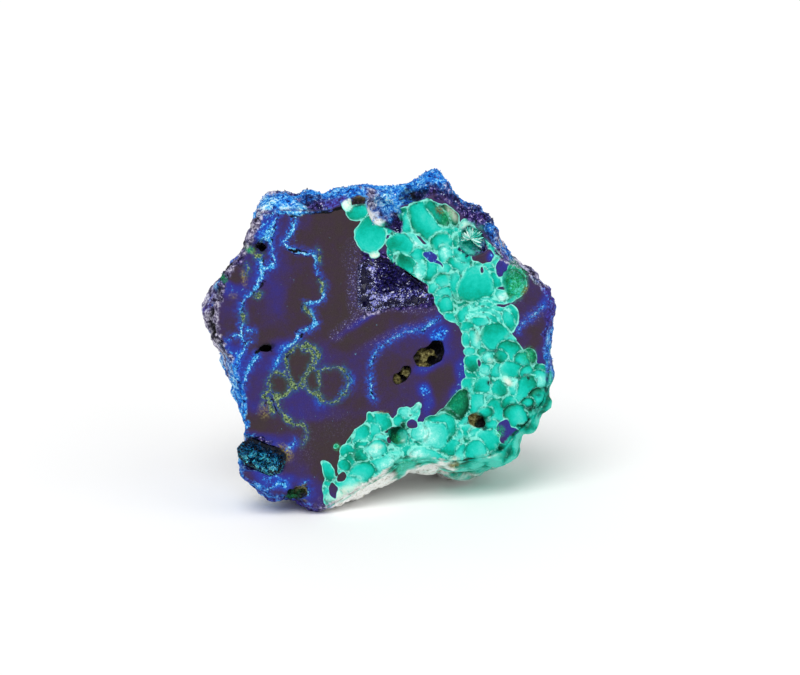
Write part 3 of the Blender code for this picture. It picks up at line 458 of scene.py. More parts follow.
SKIN_PATCHES = {
    SkinKind.BLUE: rows(
        Patch,
        (262, 192, 5, 8), (300, 190, 5, 9), (340, 190, 4, 9), (380, 186, 7, 8), (403, 203, 2.5, 2.6, 3),
        (437, 182, 7, 5.5, 4), (426, 184, 8, 4.5, 3), (432, 180, 3, 3, 3), (412, 188, 5, 3.4, 2.4),
        (460, 200, 6, 5, 1.6), (490, 232, 6, 5), (493, 238, 3, 2.6, 3), (508, 248, 4, 1.5, 4),
        (527, 262, 4, 1.5, 4), (518, 256, 7, 1.8, 3.4), (530, 262, 7, 5), (554, 354, 3, 4, 2.4),
        (556, 320, 14, 10), (238, 322, 11, 4, 1.5), (228, 284, 6, 2, 1.4), (228, 374, 3, 5),
        (234, 410, 3, 5), (240, 428, 3, 4), (240, 470, 4, 6), (262, 492, 3, 5), (300, 200, 18, 10, 0.8),
        (470, 260, 20, 10, 0.8), (240, 400, 18, 10, 0.8), (430, 250, 26, 9, 0.7), (330, 380, 28, 8, 0.6),
        (392, 212, 0.8, 2, 2.4),
    ),
    SkinKind.INDIGO: rows(
        Patch,
        (294, 202, 7.5, 3, 2.4), (312, 196, 9, 1.8, 4), (320, 208, 1.6, 2.6, 2), (308, 207, 3.4, 1.8, 1.6),
        (352, 186, 9, 3, 1.5), (432, 197, 2.5, 3.6, 1.6), (452, 206, 2, 5, 1.6), (476, 226, 2, 5, 1.5),
        (232, 296, 13, 3, 1.8), (232, 262, 2.5, 3.2, 2.6), (222, 280, 3.5, 2.6, 2.2), (230, 396, 2, 3, 1.1),
        (380, 220, 20, 9, 0.8), (300, 330, 28, 9, 0.7), (250, 240, 20, 7, 0.6), (398, 227, 0.8, 2.4, 4.5),
        (480, 242, 1.8, 2.4, 1.6), (458, 246, 0.6, 1.8, 3), (262, 456, 4, 4.4, 1.6), (390, 284, 1.4, 8, 3),
        (440, 198, 0.5, 3.2, 2.6), (470, 216, 0.5, 4, 3), (494, 240, 0.5, 3, 2),
    ),
    SkinKind.FROST: rows(
        Patch,
        (272, 207, 2.4, 1.8, 2.2), (279, 206, 3.2, 1.5, 2), (287, 214, 0.6, 1.3, 2.4),
        (301, 213, 0.8, 1.5, 2.4), (316, 203, 6, 2, 1.8), (341, 203, 5, 1.6, 1.8), (268, 201, 5, 1.6, 1.6),
        (292, 205, 5, 1.4, 1.6), (391, 201, 2.5, 2, 1.8), (380, 204, 2, 1.4, 2), (399, 206, 2.6, 1.5, 1.8),
    ),
    SkinKind.LAVENDER: rows(
        Patch,
        (284, 198, 9, 3, 3.4), (300, 197, 9.5, 2.8, 3), (256, 216, 1, 2.6, 3.6), (248, 236, 0.6, 3.4, 3.6),
        (252, 224, 2, 3, 2.4), (372, 198, 3, 2, 2), (503, 246, 2.5, 2.4, 3), (522, 260, 2.5, 2.4, 3.4),
        (531, 266, 2.5, 2.4, 3.4), (545, 281, 2, 2, 2.4), (232, 263, 2, 2.4, 3), (516, 256, 4, 4),
        (536, 276, 3, 4), (250, 215, 3, 4), (236, 240, 3, 6), (216, 262, 6, 5), (208, 300, 6, 6),
        (212, 320, 4, 5), (220, 350, 4, 6), (326, 514, 2, 3), (522, 263, 7, 3.6, 2.2),
        (538, 276, 7, 3.6, 2.2), (508, 250, 7, 3, 1.6), (230, 300, 16, 10, 0.8), (350, 280, 26, 8, 0.7),
        (377, 207, 1.6, 1.2, 4), (384, 212, 1.6, 1.2, 4), (392, 217, 1.4, 1.1, 3.6),
        (360, 282, 0.5, 3, 2.2), (366, 312, 0.5, 2.6, 2.2),
    ),
    SkinKind.VIOLET: rows(
        Patch,
        (318, 194, 9.5, 2, 2.6), (336, 208, 1.6, 2.2, 3.4), (512, 252, 2.5, 2, 3), (538, 273, 2.5, 2, 2.4),
        (554, 310, 4, 8), (556, 340, 4, 8), (554, 364, 2, 2.4, 2.4), (244, 270, 12, 4, 1.6),
        (214, 302, 6, 2.2, 2.4), (250, 480, 3, 4), (270, 500, 2, 4), (310, 512, 2, 5),
        (280, 420, 24, 8, 0.6),
    ),
    SkinKind.MALACHITE: rows(
        Patch,
        (258, 213, 0.6, 1.2, 2.6), (560, 384, 5, 6, 1.3), (552, 410, 6, 8, 1.3), (530, 440, 6, 8, 1.3),
        (500, 464, 6, 8, 1.3), (470, 472, 5, 7, 1.2), (404, 470, 2.4, 3.6, 1.2), (520, 450, 16, 9, 1.2),
        (540, 420, 18, 10), (490, 440, 27, 10), (480, 400, 28, 8, 0.8), (400, 320, 28, 7, 0.6),
        (487, 416, 0.6, 1.6, 3), (406, 470, 1.5, 3, 3), (426, 467, 1, 2.6, 2.6), (395, 434, 1.4, 1.8, 1.6),
        (516, 284, 1.2, 3, 2.4), (386, 227, 0.5, 1.5, 4), (406, 220, 0.8, 1.2, 4), (404, 208, 2.6, 1.3, 2),
        (471, 237, 1.4, 2.4, 5),
    ),
    SkinKind.MATRIX: rows(
        Patch,
        (252, 212, 2, 2, 0.6), (232, 345, 12, 3, 1.2), (224, 356, 5, 3, 0.5), (440, 474, 6, 6, 1.2),
        (380, 488, 4, 6, 1.3), (352, 504, 4, 6, 1.3), (420, 480, 14, 9, 1.1), (470, 486, 16, 8, 0.9),
        (300, 470, 26, 10, 0.8), (500, 350, 28, 6, 0.6), (376, 214, 0.8, 1.3, 5), (382, 220, 0.8, 1.3, 5),
    ),
    SkinKind.OCHRE: rows(
        Patch,
        (240, 334, 16, 3, 1.2), (226, 350, 2, 1.6, 1.2), (360, 420, 30, 8, 0.7), (425, 357, 1.6, 1.2, 9),
        (431, 354, 1.6, 1, 7), (399.5, 380, 1.4, 0.62, 12), (406, 374, 1.4, 0.56, 12),
        (301, 491, 1.2, 1.5, 3.4), (479, 420, 1.4, 1.5, 3), (456, 468, 1, 1.2, 1.6), (285, 452, 2, 2, 2.2),
    ),
    SkinKind.BLACK: rows(
        Patch,
        (306, 200, 8, 1.4, 2), (254, 226, 0.5, 1.2, 2.4), (246, 246, 0.8, 1, 2.4), (414, 197, 2.5, 3.2, 3),
        (440, 197, 1.2, 2, 2.4), (230, 266, 3.5, 1.5, 7), (222, 312, 3, 1.3, 6), (226, 346, 2, 1.1, 4),
        # The patches at (551, 392), (545, 417) and (526, 441) are painted shade in the notches between the
        # right knobs, each over a shallow pit.
        (218, 290, 2, 1.1, 4), (221, 294, 4.5, 1.9, 9), (218, 331, 4, 1.6, 9), (551, 392, 1.2, 0.8, 2.4),
        (545, 417, 1.2, 0.8, 2.4), (526, 441, 1, 0.8, 2.4), (425, 352, 2, 2.6, 3), (402, 377, 2, 2.4, 3),
        (262, 247, 1.4, 1.6, 3), (268, 346, 1.2, 1.8, 3), (297, 495, 1.4, 1.8, 3.4),
        (484, 423, 2, 1.3, 2.6), (420, 276, 0.5, 3, 3),
    ),
}

# --------------------------------------------------------- fields on the skin


def smooth_step(values: Points, low: float, high: float) -> Points:
    """A smooth rise from 0 at low to 1 at high."""
    share = np.clip((values - low) / (high - low), 0.0, 1.0)
    return share * share * (3.0 - 2.0 * share)


def flat(place: Points) -> Points:
    """Face x and z as points of the sawn plane."""
    return np.insert(place, 1, 0.0, axis=1)


def oval_radius(place: Points, spots: Sequence[Spot]) -> tuple[Points, Points]:
    """How far out from the middle of each oval every point is.

    Args:
        place: Face x and z of the points, in millimetres.
        spots: The drawn ovals.

    Returns:
        The radius as a share of the oval's edge, one row for each oval, and
        each oval's smaller half size in millimetres.
    """
    middle = DRAWING.middles(spots)
    turn = np.radians([spot.turn for spot in spots])
    wide = np.array([spot.wide for spot in spots]) * DRAWING.step
    high = np.array([spot.high for spot in spots]) * DRAWING.step
    away = place[None, :, :] - middle[:, None, :]
    cos, sin = np.cos(turn)[:, None], np.sin(turn)[:, None]
    along = away[..., 0] * cos - away[..., 1] * sin
    across = away[..., 0] * sin + away[..., 1] * cos
    return np.hypot(along / wide[:, None], across / high[:, None]), np.minimum(wide, high)


def patch_radius(points: Points, patches: Sequence[Patch]) -> Points:
    """How far every point is from the middle of each patch.

    Args:
        points: Points of the face frame.
        patches: The round patches.

    Returns:
        The distance as a share of the patch's reach, one row for each patch.
    """
    middle = DRAWING.middles(patches)
    centre = np.column_stack([middle[:, 0], [patch.depth for patch in patches], middle[:, 1]])
    reach = np.array([patch.reach for patch in patches])
    return np.linalg.norm(points[None] - centre[:, None], axis=2) / reach[:, None]


def distance_and_side(place: Points, line: Points) -> tuple[Points, Points]:
    """How far every point is from a line of straight stretches, and on which side of it.

    Args:
        place: Face x and z of the points, in millimetres.
        line: The line's points.

    Returns:
        The distance in millimetres, and 1 to the left of the line or -1 to the right.
    """
    best = np.full(len(place), np.inf)
    side = np.ones(len(place))
    for start, end in zip(line, line[1:]):
        way = end - start
        away = place - start
        share = np.clip(away @ way / max(way @ way, 1e-9), 0.0, 1.0)
        far = np.linalg.norm(away - share[:, None] * way, axis=1)
        left = np.where(way[0] * away[:, 1] - way[1] * away[:, 0] > 0.0, 1.0, -1.0)
        side = np.where(far < best, left, side)
        best = np.minimum(best, far)
    return best, side


def signed_distance(place: Points, outline: Sequence[tuple[float, float]]) -> Points:
    """How far every point is inside a closed outline.

    Args:
        place: Face x and z of the points, in millimetres.
        outline: The drawn outline, on the grid.

    Returns:
        The distance to the outline in millimetres, below zero outside it.
    """
    drawn = DRAWING.place(outline)
    closed = np.vstack([drawn, drawn[:1]])
    inside = np.zeros(len(place), bool)
    for (x0, z0), (x1, z1) in zip(closed, closed[1:]):
        crosses = (z0 > place[:, 1]) != (z1 > place[:, 1])
        at = x0 + (place[:, 1] - z0) * (x1 - x0) / ((z1 - z0) or 1e-9)
        inside ^= crosses & (place[:, 0] < at)
    away, _ = distance_and_side(place, closed)
    return np.where(inside, away, -away)


def waves(points: Points, wavelength: float, offset: float = 0.0) -> Points:
    """Smooth noise between about -1 and 1 at every point.

    Args:
        points: Places in millimetres, one row each.
        wavelength: Size of the noise's features in millimetres.
        offset: Moves the pattern, so that two fields differ.

    Returns:
        One value for each point.
    """
    shift = Vector((offset, 0.37 * offset, 1.7 * offset))
    return np.array([noise.noise(Vector(point) / wavelength + shift) for point in points])


def layered(points: Points, layers: Layers) -> Points:
    """The sum of several noises, each given by its amount, wavelength and offset."""
    return sum(amount * waves(points, wavelength, offset) for amount, wavelength, offset in layers)


def grains(points: Points, size: float) -> Points:
    """1 at the middle of each packed grain and about 0 where grains meet."""
    away = np.array([noise.voronoi(Vector(point) / size)[0][0] for point in points])
    return np.sqrt(np.clip(1.0 - away * away, 0.0, 1.0))


def bent(place: Points, bends: Layers) -> Points:
    """The places shifted by noise, so that drawn lines and ovals turn out uneven.

    Args:
        place: Face x and z of the points, in millimetres.
        bends: Amount and wavelength of each bend in millimetres, and its offset.

    Returns:
        The shifted places.
    """
    for amount, wavelength, offset in bends:
        shifts = [waves(flat(place), wavelength, offset + more) for more in (0.0, 50.0)]
        place = place + amount * np.stack(shifts, axis=1)
    return place


@dataclass(frozen=True)
class PackedCells:
    """Small malachite cells that fill the band between the drawn ones."""

    size: float = 2.7
    darkest: float = 0.26
    palest: float = 0.72
    margin: float = 0.15
    scatter: tuple[float, ...] = (127.1, 311.7, 74.7, 43758.5453)

    def value(self, column: Points, row: Points, salt: float) -> Points:
        """Scatters values over the squares of the packing.

        Args:
            column: Each point's square, counted along x.
            row: The same along z.
            salt: Sets the values for one use apart from those for another.

        Returns:
            Each square's own value from 0 to 1.
        """
        by_column, by_row, by_salt, much = self.scatter
        wave = np.sin(column * by_column + row * by_row + salt * by_salt) * much
        return wave - np.floor(wave)

    def fields(self, place: Points) -> tuple[Points, Points]:
        """Finds the cell that every point is in.

        Args:
            place: Face x and z of the points, in millimetres.

        Returns:
            The distance to the cell's edge in millimetres, and its tone.
        """
        scaled = place / self.size
        base = np.floor(scaled)
        near = np.full(len(place), np.inf)
        second = np.full(len(place), np.inf)
        tone = np.zeros(len(place))
        room = 1.0 - 2.0 * self.margin
        for step_x in (-1, 0, 1):
            for step_z in (-1, 0, 1):
                square = base[:, 0] + step_x, base[:, 1] + step_z
                x, z = (at + self.margin + room * self.value(*square, salt)
                        for salt, at in enumerate(square, 1))
                away = np.hypot(scaled[:, 0] - x, scaled[:, 1] - z)
                shade = self.darkest + (self.palest - self.darkest) * self.value(*square, 3.0)
                second = np.where(away < near, near, np.minimum(second, away))
                tone = np.where(away < near, shade, tone)
                near = np.minimum(near, away)
        return (second - near) * 0.5 * self.size, tone


@dataclass
class FaceMarkings:
    """Works out the drawn markings at any points of the sawn face.

    Lengths are in millimetres.  bare_share is how far the base tone counts
    beside the spots, and gap_away how far the dark line lies from its vein.
    Each swell or bend is an amount, a wavelength and an offset of its noise.
    The cell lean is painted light, lighter on one side of each cell and
    darker on the other, and the sink shade is painted shade on sunk rims.
    """

    spot_spread: float = 1.25
    spot_fall: float = 1.6
    base_tone: float = PURPLE
    bare_share: float = 0.03
    core_share: float = 0.52
    olive_share: float = 0.70
    olive_halo: float = 3.2
    dull_side: float = 3.0
    gap_away: float = 0.18
    other_side: float = 9.0
    glow_reach: float = 0.85
    glow_amount: float = 0.30
    # Painted light and shade on the cells: how much one side is lit over the other, and how dark the sunk
    # rims are.
    wobble: float = 0.20
    cell_lit_side: float = 0.17
    sink_shade: float = 0.26
    between: float = 0.30
    crowding: float = 1.2
    vein_swells: Layers = ((1.5, 2.3, 33.0),)
    cell_bends: Layers = ((0.62, 3.2, 20.0), (0.20, 1.1, 30.0))
    gap_bends: Layers = ((0.50, 1.6, 40.0),)
    vein_bends: Layers = ((0.30, 1.9, 60.0), (0.34, 0.75, 70.0))
    torn_bends: Layers = ((0.55, 2.4, 80.0),)
    packing: PackedCells = field(default_factory=PackedCells)

    def azurite_tone(self, place: Points) -> Points:
        """Blends the tones of the spots drawn on the azurite.

        Args:
            place: Face x and z of the points, in millimetres.

        Returns:
            The tone of every point, from brown at 0 over violet to sky blue at 1.
        """
        radius, _ = oval_radius(place, AZURITE_SPOTS)
        share = np.exp(-(radius / self.spot_spread) ** 2 * self.spot_fall)
        tones = np.array([spot.tone for spot in AZURITE_SPOTS])
        return (share.T @ tones + self.bare_share * self.base_tone) / (share.sum(axis=0) + self.bare_share)

    def veins(self, place: Points, kind: VeinKind) -> tuple[Points, Points, Points]:
        """Where the veins of one kind run.

        Args:
            place: Face x and z of the points, in millimetres.
            kind: The kind of vein.

        Returns:
            The distance beyond the nearest vein's edge, the same with the side
            that doesn't glow moved away, and the distance to the dark line
            that follows the vein on that side.
        """
        core, glow, gap = (np.full(len(place), NOWHERE) for _ in range(3))
        swell = np.clip(1.0 + layered(flat(place), self.vein_swells), 0.25, 2.2)
        share = self.olive_share if kind is VeinKind.OLIVE else self.core_share
        for vein in VEINS[kind]:
            away, side = distance_and_side(place, DRAWING.place(vein.points))
            edge = away - vein.half * share * DRAWING.step * swell
            dull = side * (vein.glow or -1.0) < 0.0
            core = np.minimum(core, edge)
            glow = np.minimum(glow, edge * np.where(dull & (vein.glow != 0), self.dull_side, 1.0))
            gap = np.minimum(gap, np.abs(edge - self.gap_away) + np.where(dull, 0.0, self.other_side))
        return core, glow, gap

    def soft_share(self, place: Points, spots: Sequence[Spot]) -> Points:
        """Finds the strongest of a set of soft spots.

        Args:
            place: Face x and z of the points, in millimetres.
            spots: The drawn spots.

        Returns:
            Its strength at every point, from 0 to 1.
        """
        radius, _ = oval_radius(place, spots)
        strength = np.array([spot.tone for spot in spots])[:, None]
        return (strength * np.clip(1.6 - radius, 0.0, 1.0)).max(axis=0)

    def malachite(self, place: Points) -> dict[str, Points]:
        """The cells of the malachite.

        Args:
            place: Face x and z of the points, in millimetres.

        Returns:
            How far inside the malachite each point is, how far from the
            nearest cell edge, the tone there with its painted light and shade,
            and how far the surface is sunk.
        """
        level = flat(place)
        bend = self.wobble * waves(level, 1.4) + 0.6 * self.wobble * waves(level, 0.6)
        band = signed_distance(place, UPPER_BAND) + bend
        uneven = bent(place, self.cell_bends)
        rim, tone = self.packing.fields(uneven)
        sunk = np.full(len(place), self.between)
        radius, small = oval_radius(uneven, MALACHITE_CELLS)
        middles = DRAWING.middles(MALACHITE_CELLS)
        deep = signed_distance(middles, UPPER_BAND) > self.crowding * small
        radius /= np.where(deep, self.crowding, 1.0)[:, None]
        inside = (1.0 - radius) * small[:, None]
        whole = np.maximum(band, inside.max(axis=0))
        for number, (cell, radii, depth) in enumerate(zip(MALACHITE_CELLS, radius, inside)):
            within, out = depth > 0.0, np.clip(radii, 0.0, 1.0)
            rim = np.where(within, depth, np.minimum(rim, -depth))
            # Painted light and shade: each cell is lighter on one side than the other, paler in its middle
            # by its glow as a highlight on the dome, and darker towards a sunk rim.
            turn = 2.4 * number
            lean = (place - middles[number]) @ np.array([math.cos(turn), math.sin(turn)])
            lean /= DRAWING.step * 0.5 * (cell.wide + cell.high)
            dome = 1.0 - out ** 2
            shade = cell.tone + cell.glow * (1.3 * dome - 0.3) + self.cell_lit_side * lean
            shade -= self.sink_shade * cell.sunk * (1.0 - dome)
            tone = np.where(within, shade, tone)
            sunk = np.where(within, 1.4 * cell.sunk * out ** 2.5, sunk)
        gap_radius, gap_small = oval_radius(bent(place, self.gap_bends), AZURITE_GAPS)
        gap = ((gap_radius - 1.0) * gap_small[:, None]).min(axis=0) + 0.5 * bend
        return {"malachite": np.minimum(whole, gap), "cell_rim": rim, "cell_tone": tone, "sunk": sunk}

    def fields(self, place: Points) -> dict[str, Points]:
        """Works out every marking of the sawn face.

        Args:
            place: Face x and z of the points, in millimetres.

        Returns:
            The distances, tones and shares of the markings, by name.
        """
        found = self.malachite(place)
        crinkled = bent(place, self.vein_bends)
        cyan, cyan_halo, found["gap_line"] = self.veins(crinkled, VeinKind.CYAN)
        olive, olive_halo, _ = self.veins(crinkled, VeinKind.OLIVE)
        crack, _, _ = self.veins(crinkled, VeinKind.CRACK)
        found |= {VeinKind.CYAN.value: cyan, VeinKind.OLIVE.value: olive, VeinKind.CRACK.value: crack}
        found["halo"] = np.minimum(np.minimum(cyan_halo, olive_halo * self.olive_halo), NOWHERE)
        torn = bent(crinkled, self.torn_bends)
        rough = np.stack([signed_distance(torn, area) for area in ROUGH_AREAS]).max(axis=0)
        found["rough"] = smooth_step(rough, -0.15, 0.15)
        found["rough"] *= 1.0 - smooth_step(found["malachite"], -0.05, 0.05)
        glow = np.exp(-np.clip(found["halo"], 0.0, None) / self.glow_reach)
        tone = self.azurite_tone(place)
        for vein in VEINS[VeinKind.OLIVE]:
            if vein.inside is not None:
                share = smooth_step(signed_distance(crinkled, vein.points), -0.1, 0.2)
                tone += (vein.inside - tone) * share
                glow *= 1.0 - share
        found["tone"] = tone + self.glow_amount * glow
        for name, spots in SOFT_SPOTS.items():
            found[name] = self.soft_share(place, spots)
        return found


@dataclass
class SkinMinerals:
    """Shares out the rough skin among the minerals of the listed patches."""

    mixing: float = 1.1
    patch_size: float = 1.9
    sharpness: float = 3.0
    far_mixing: float = 1.1
    far_size: float = 5.2

    def fields(self, points: Points) -> dict[str, Points]:
        """Shares out the skin.

        Args:
            points: Points of the face frame.

        Returns:
            The share of each mineral, by the name of its kind.
        """
        scores = []
        far = self.far_mixing * smooth_step(points[:, 1], 4.0, 12.0)
        for number, kind in enumerate(SkinKind):
            weight = np.array([patch.weight for patch in SKIN_PATCHES[kind]])
            away = patch_radius(points, SKIN_PATCHES[kind])
            score = (np.log(weight)[:, None] - away * away).max(axis=0)
            broken = waves(points, self.patch_size, 11.0 * number) + 0.6 * waves(points, 0.8, 5.0 * number)
            scores.append(score + self.mixing * broken + far * waves(points, self.far_size, 17.0 * number))
        stack = np.stack(scores)
        share = np.exp(self.sharpness * (stack - stack.max(axis=0)))
        share /= share.sum(axis=0)
        return {kind.value: values for kind, values in zip(SkinKind, share)}


# ------------------------------------------------------------------ the shader


def operator(operation: str, swapped: bool = False) -> Callable[[Wire, Wire | float], Wire]:
    """An operator for Wire.

    Args:
        operation: What its Math node does.
        swapped: Whether the other value comes first.

    Returns:
        The operator.
    """
    def apply(self: Wire, other: Wire | float) -> Wire:
        """Adds the Math node."""
        return self.math(operation, *((other, self) if swapped else (self, other)))
    return apply


class Wire:
    """A socket that takes part in sums, each of which adds its Math node."""

    def __init__(self, tree: Tree, socket: bpy.types.NodeSocket) -> None:
        """Wraps one output socket of a tree."""
        self.tree = tree
        self.socket = socket

    def math(self, operation: str, *values: Wire | float, clamp: bool = False) -> Wire:
        """Adds one Math node on the given values."""
        settings = {"operation": operation, "use_clamp": clamp}
        return self.tree.node("ShaderNodeMath", settings, dict(enumerate(values)))

    __add__, __radd__ = operator("ADD"), operator("ADD", swapped=True)
    __sub__, __rsub__ = operator("SUBTRACT"), operator("SUBTRACT", swapped=True)
    __mul__, __rmul__ = operator("MULTIPLY"), operator("MULTIPLY", swapped=True)
    __truediv__ = operator("DIVIDE")
    most = operator("MAXIMUM")
    least = operator("MINIMUM")

    def clamped(self) -> Wire:
        """The value held between 0 and 1."""
        return self.math("ADD", self, 0.0, clamp=True)

    def rise(self, low: float, high: float) -> Wire:
        """Adds a smooth rise, or a fall where high is below low.

        Args:
            low: The value that gives 0.
            high: The value that gives 1.

        Returns:
            The wire from 0 to 1.
        """
        start, end = sorted((low, high))
        stepped = self.tree.node(
            "ShaderNodeMapRange", {"interpolation_type": "SMOOTHSTEP", "clamp": True},
            {"Value": self, "From Min": start, "From Max": end, "To Min": 0.0, "To Max": 1.0})
        return stepped if low < high else 1.0 - stepped


Value = Wire | float | tuple


class Tree:
    """The node tree of one finish."""

    def __init__(self, name: str) -> None:
        """Starts a material with one Principled shader.

        Args:
            name: The material's name.
        """
        self.material = bpy.data.materials.new(name)
        self.material.use_nodes = True
        self.nodes = self.material.node_tree.nodes
        self.shader = self.nodes["Principled BSDF"]
        texture = self.node("ShaderNodeTexCoord", {}, {}, "Object")
        self.place = self.node(
            "ShaderNodeVectorMath", {"operation": "SCALE"}, {"Vector": texture, "Scale": 1.0 / MM})

    def socket(self, sockets: Sequence[bpy.types.NodeSocket], key: str | int) -> bpy.types.NodeSocket:
        """Finds a socket.

        Args:
            sockets: Where it is looked for.
            key: Its number, its identifier or, failing that, its name.

        Returns:
            The socket.
        """
        if isinstance(key, int):
            return sockets[key]
        return (next((socket for socket in sockets if socket.identifier == key), None)
                or next(socket for socket in sockets if socket.name == key))

    def node(self, kind: str, settings: dict, inputs: dict, output: str | int = 0) -> Wire:
        """Adds a node.

        Args:
            kind: The node's type.
            settings: What is set first; "stops" sets a colour ramp's places and colours.
            inputs: Values or wires by socket.
            output: The socket that is returned.

        Returns:
            The chosen output.
        """
        made = self.nodes.new(kind)
        for setting, value in settings.items():
            if setting == "stops":
                self.set_stops(made.color_ramp, value)
            else:
                setattr(made, setting, value)
        for key, value in inputs.items():
            self.feed(self.socket(made.inputs, key), value)
        return Wire(self, self.socket(made.outputs, output))

    def set_stops(self, ramp: bpy.types.ColorRamp, stops: Stops) -> None:
        """Gives a colour ramp its stops.

        Args:
            ramp: The ramp.
            stops: Its places and colours, from 0 to 1.
        """
        while len(ramp.elements) < len(stops):
            ramp.elements.new(1.0)
        for element, (place, colour) in zip(ramp.elements, stops):
            element.position = place
            element.color = (*colour, 1.0)

    def feed(self, socket: bpy.types.NodeSocket, value: Value) -> None:
        """Links a wire to a socket or sets its value.

        Args:
            socket: The socket.
            value: A wire, or a number or colour that the socket keeps.
        """
        if isinstance(value, Wire):
            self.material.node_tree.links.new(value.socket, socket)
        elif isinstance(value, tuple) and len(value) == 3 and socket.type == "RGBA":
            socket.default_value = (*value, 1.0)
        else:
            socket.default_value = value

    def attribute(self, name: str) -> Wire:
        """A value kept on the mesh."""
        return self.node("ShaderNodeAttribute", {"attribute_name": name}, {}, "Fac")

    def cloud(self, per_mm: float, detail: float = 3.0, rough: float = 0.55, swirl: float = 0.0) -> Wire:
        """Adds soft noise around 0.5.

        Args:
            per_mm: How many of its features there are to a millimetre.
            detail: How many finer layers it has.
            rough: How much the finer layers count.
            swirl: How much it is drawn out.

        Returns:
            The noise.
        """
        return self.node(
            "ShaderNodeTexNoise", {"noise_dimensions": "3D"},
            {"Vector": self.place, "Scale": per_mm, "Detail": detail, "Roughness": rough,
             "Distortion": swirl})

    def flakes(self, per_mm: float, output: str = "Distance") -> Wire:
        """Packed flakes: the distance to the nearest middle, or another output."""
        return self.node("ShaderNodeTexVoronoi", {"feature": "F1", "voronoi_dimensions": "3D"},
                         {"Vector": self.place, "Scale": per_mm}, output)

    def flake_value(self, per_mm: float) -> Wire:
        """One value from 0 to 1 for each flake."""
        return self.node("ShaderNodeSeparateColor", {"mode": "RGB"}, {"Color": self.flakes(per_mm, "Color")})

    def ramp(self, factor: Wire, stops: Stops) -> Wire:
        """Colours a value by a ramp."""
        return self.node("ShaderNodeValToRGB", {"stops": stops}, {"Fac": factor}, "Color")

    def mix(self, factor: Value, first: Value, second: Value, blend: str = "MIX") -> Wire:
        """Mixes two colours.

        Args:
            factor: Share of the second colour, from 0 to 1.
            first: The colour underneath.
            second: The colour on top.
            blend: How the second one is laid on.

        Returns:
            The mixed colour.
        """
        return self.node(
            "ShaderNodeMix", {"data_type": "RGBA", "blend_type": blend, "clamp_factor": True},
            {"Factor_Float": factor, "A_Color": first, "B_Color": second}, "Result_Color")

    def coats(self, colour: Value, *coats: tuple[Value, Value]) -> Wire:
        """Lays coats over a colour.

        Args:
            colour: The colour underneath.
            *coats: Each coat's share and colour, the lowest first.

        Returns:
            The colour on top.
        """
        for share, coat in coats:
            colour = self.mix(share, colour, coat)
        return colour

    def finish(self, colour: Value, roughness: Value, specular: float, bump: Wire | None = None,
               relief_mm: float = 0.02) -> bpy.types.Material:
        """Feeds the shader.

        Args:
            colour: Base colour.
            roughness: Roughness.
            specular: Level of its reflections.
            bump: Height of the fine relief, from 0 to 1.
            relief_mm: How high a height of 1 stands.

        Returns:
            The finished material.
        """
        if bump is not None:
            normal = self.node(
                "ShaderNodeBump", {}, {"Height": bump, "Distance": relief_mm * MM, "Strength": 1.0})
            self.feed(self.shader.inputs["Normal"], normal)
        inputs = {"Base Color": colour, "Roughness": roughness, "Specular IOR Level": specular}
        for name, value in inputs.items():
            self.feed(self.shader.inputs[name], value)
        return self.material


@dataclass
class Layer:
    """Colour, roughness and fine relief of one mineral."""

    colour: Wire
    roughness: Value
    relief: Wire


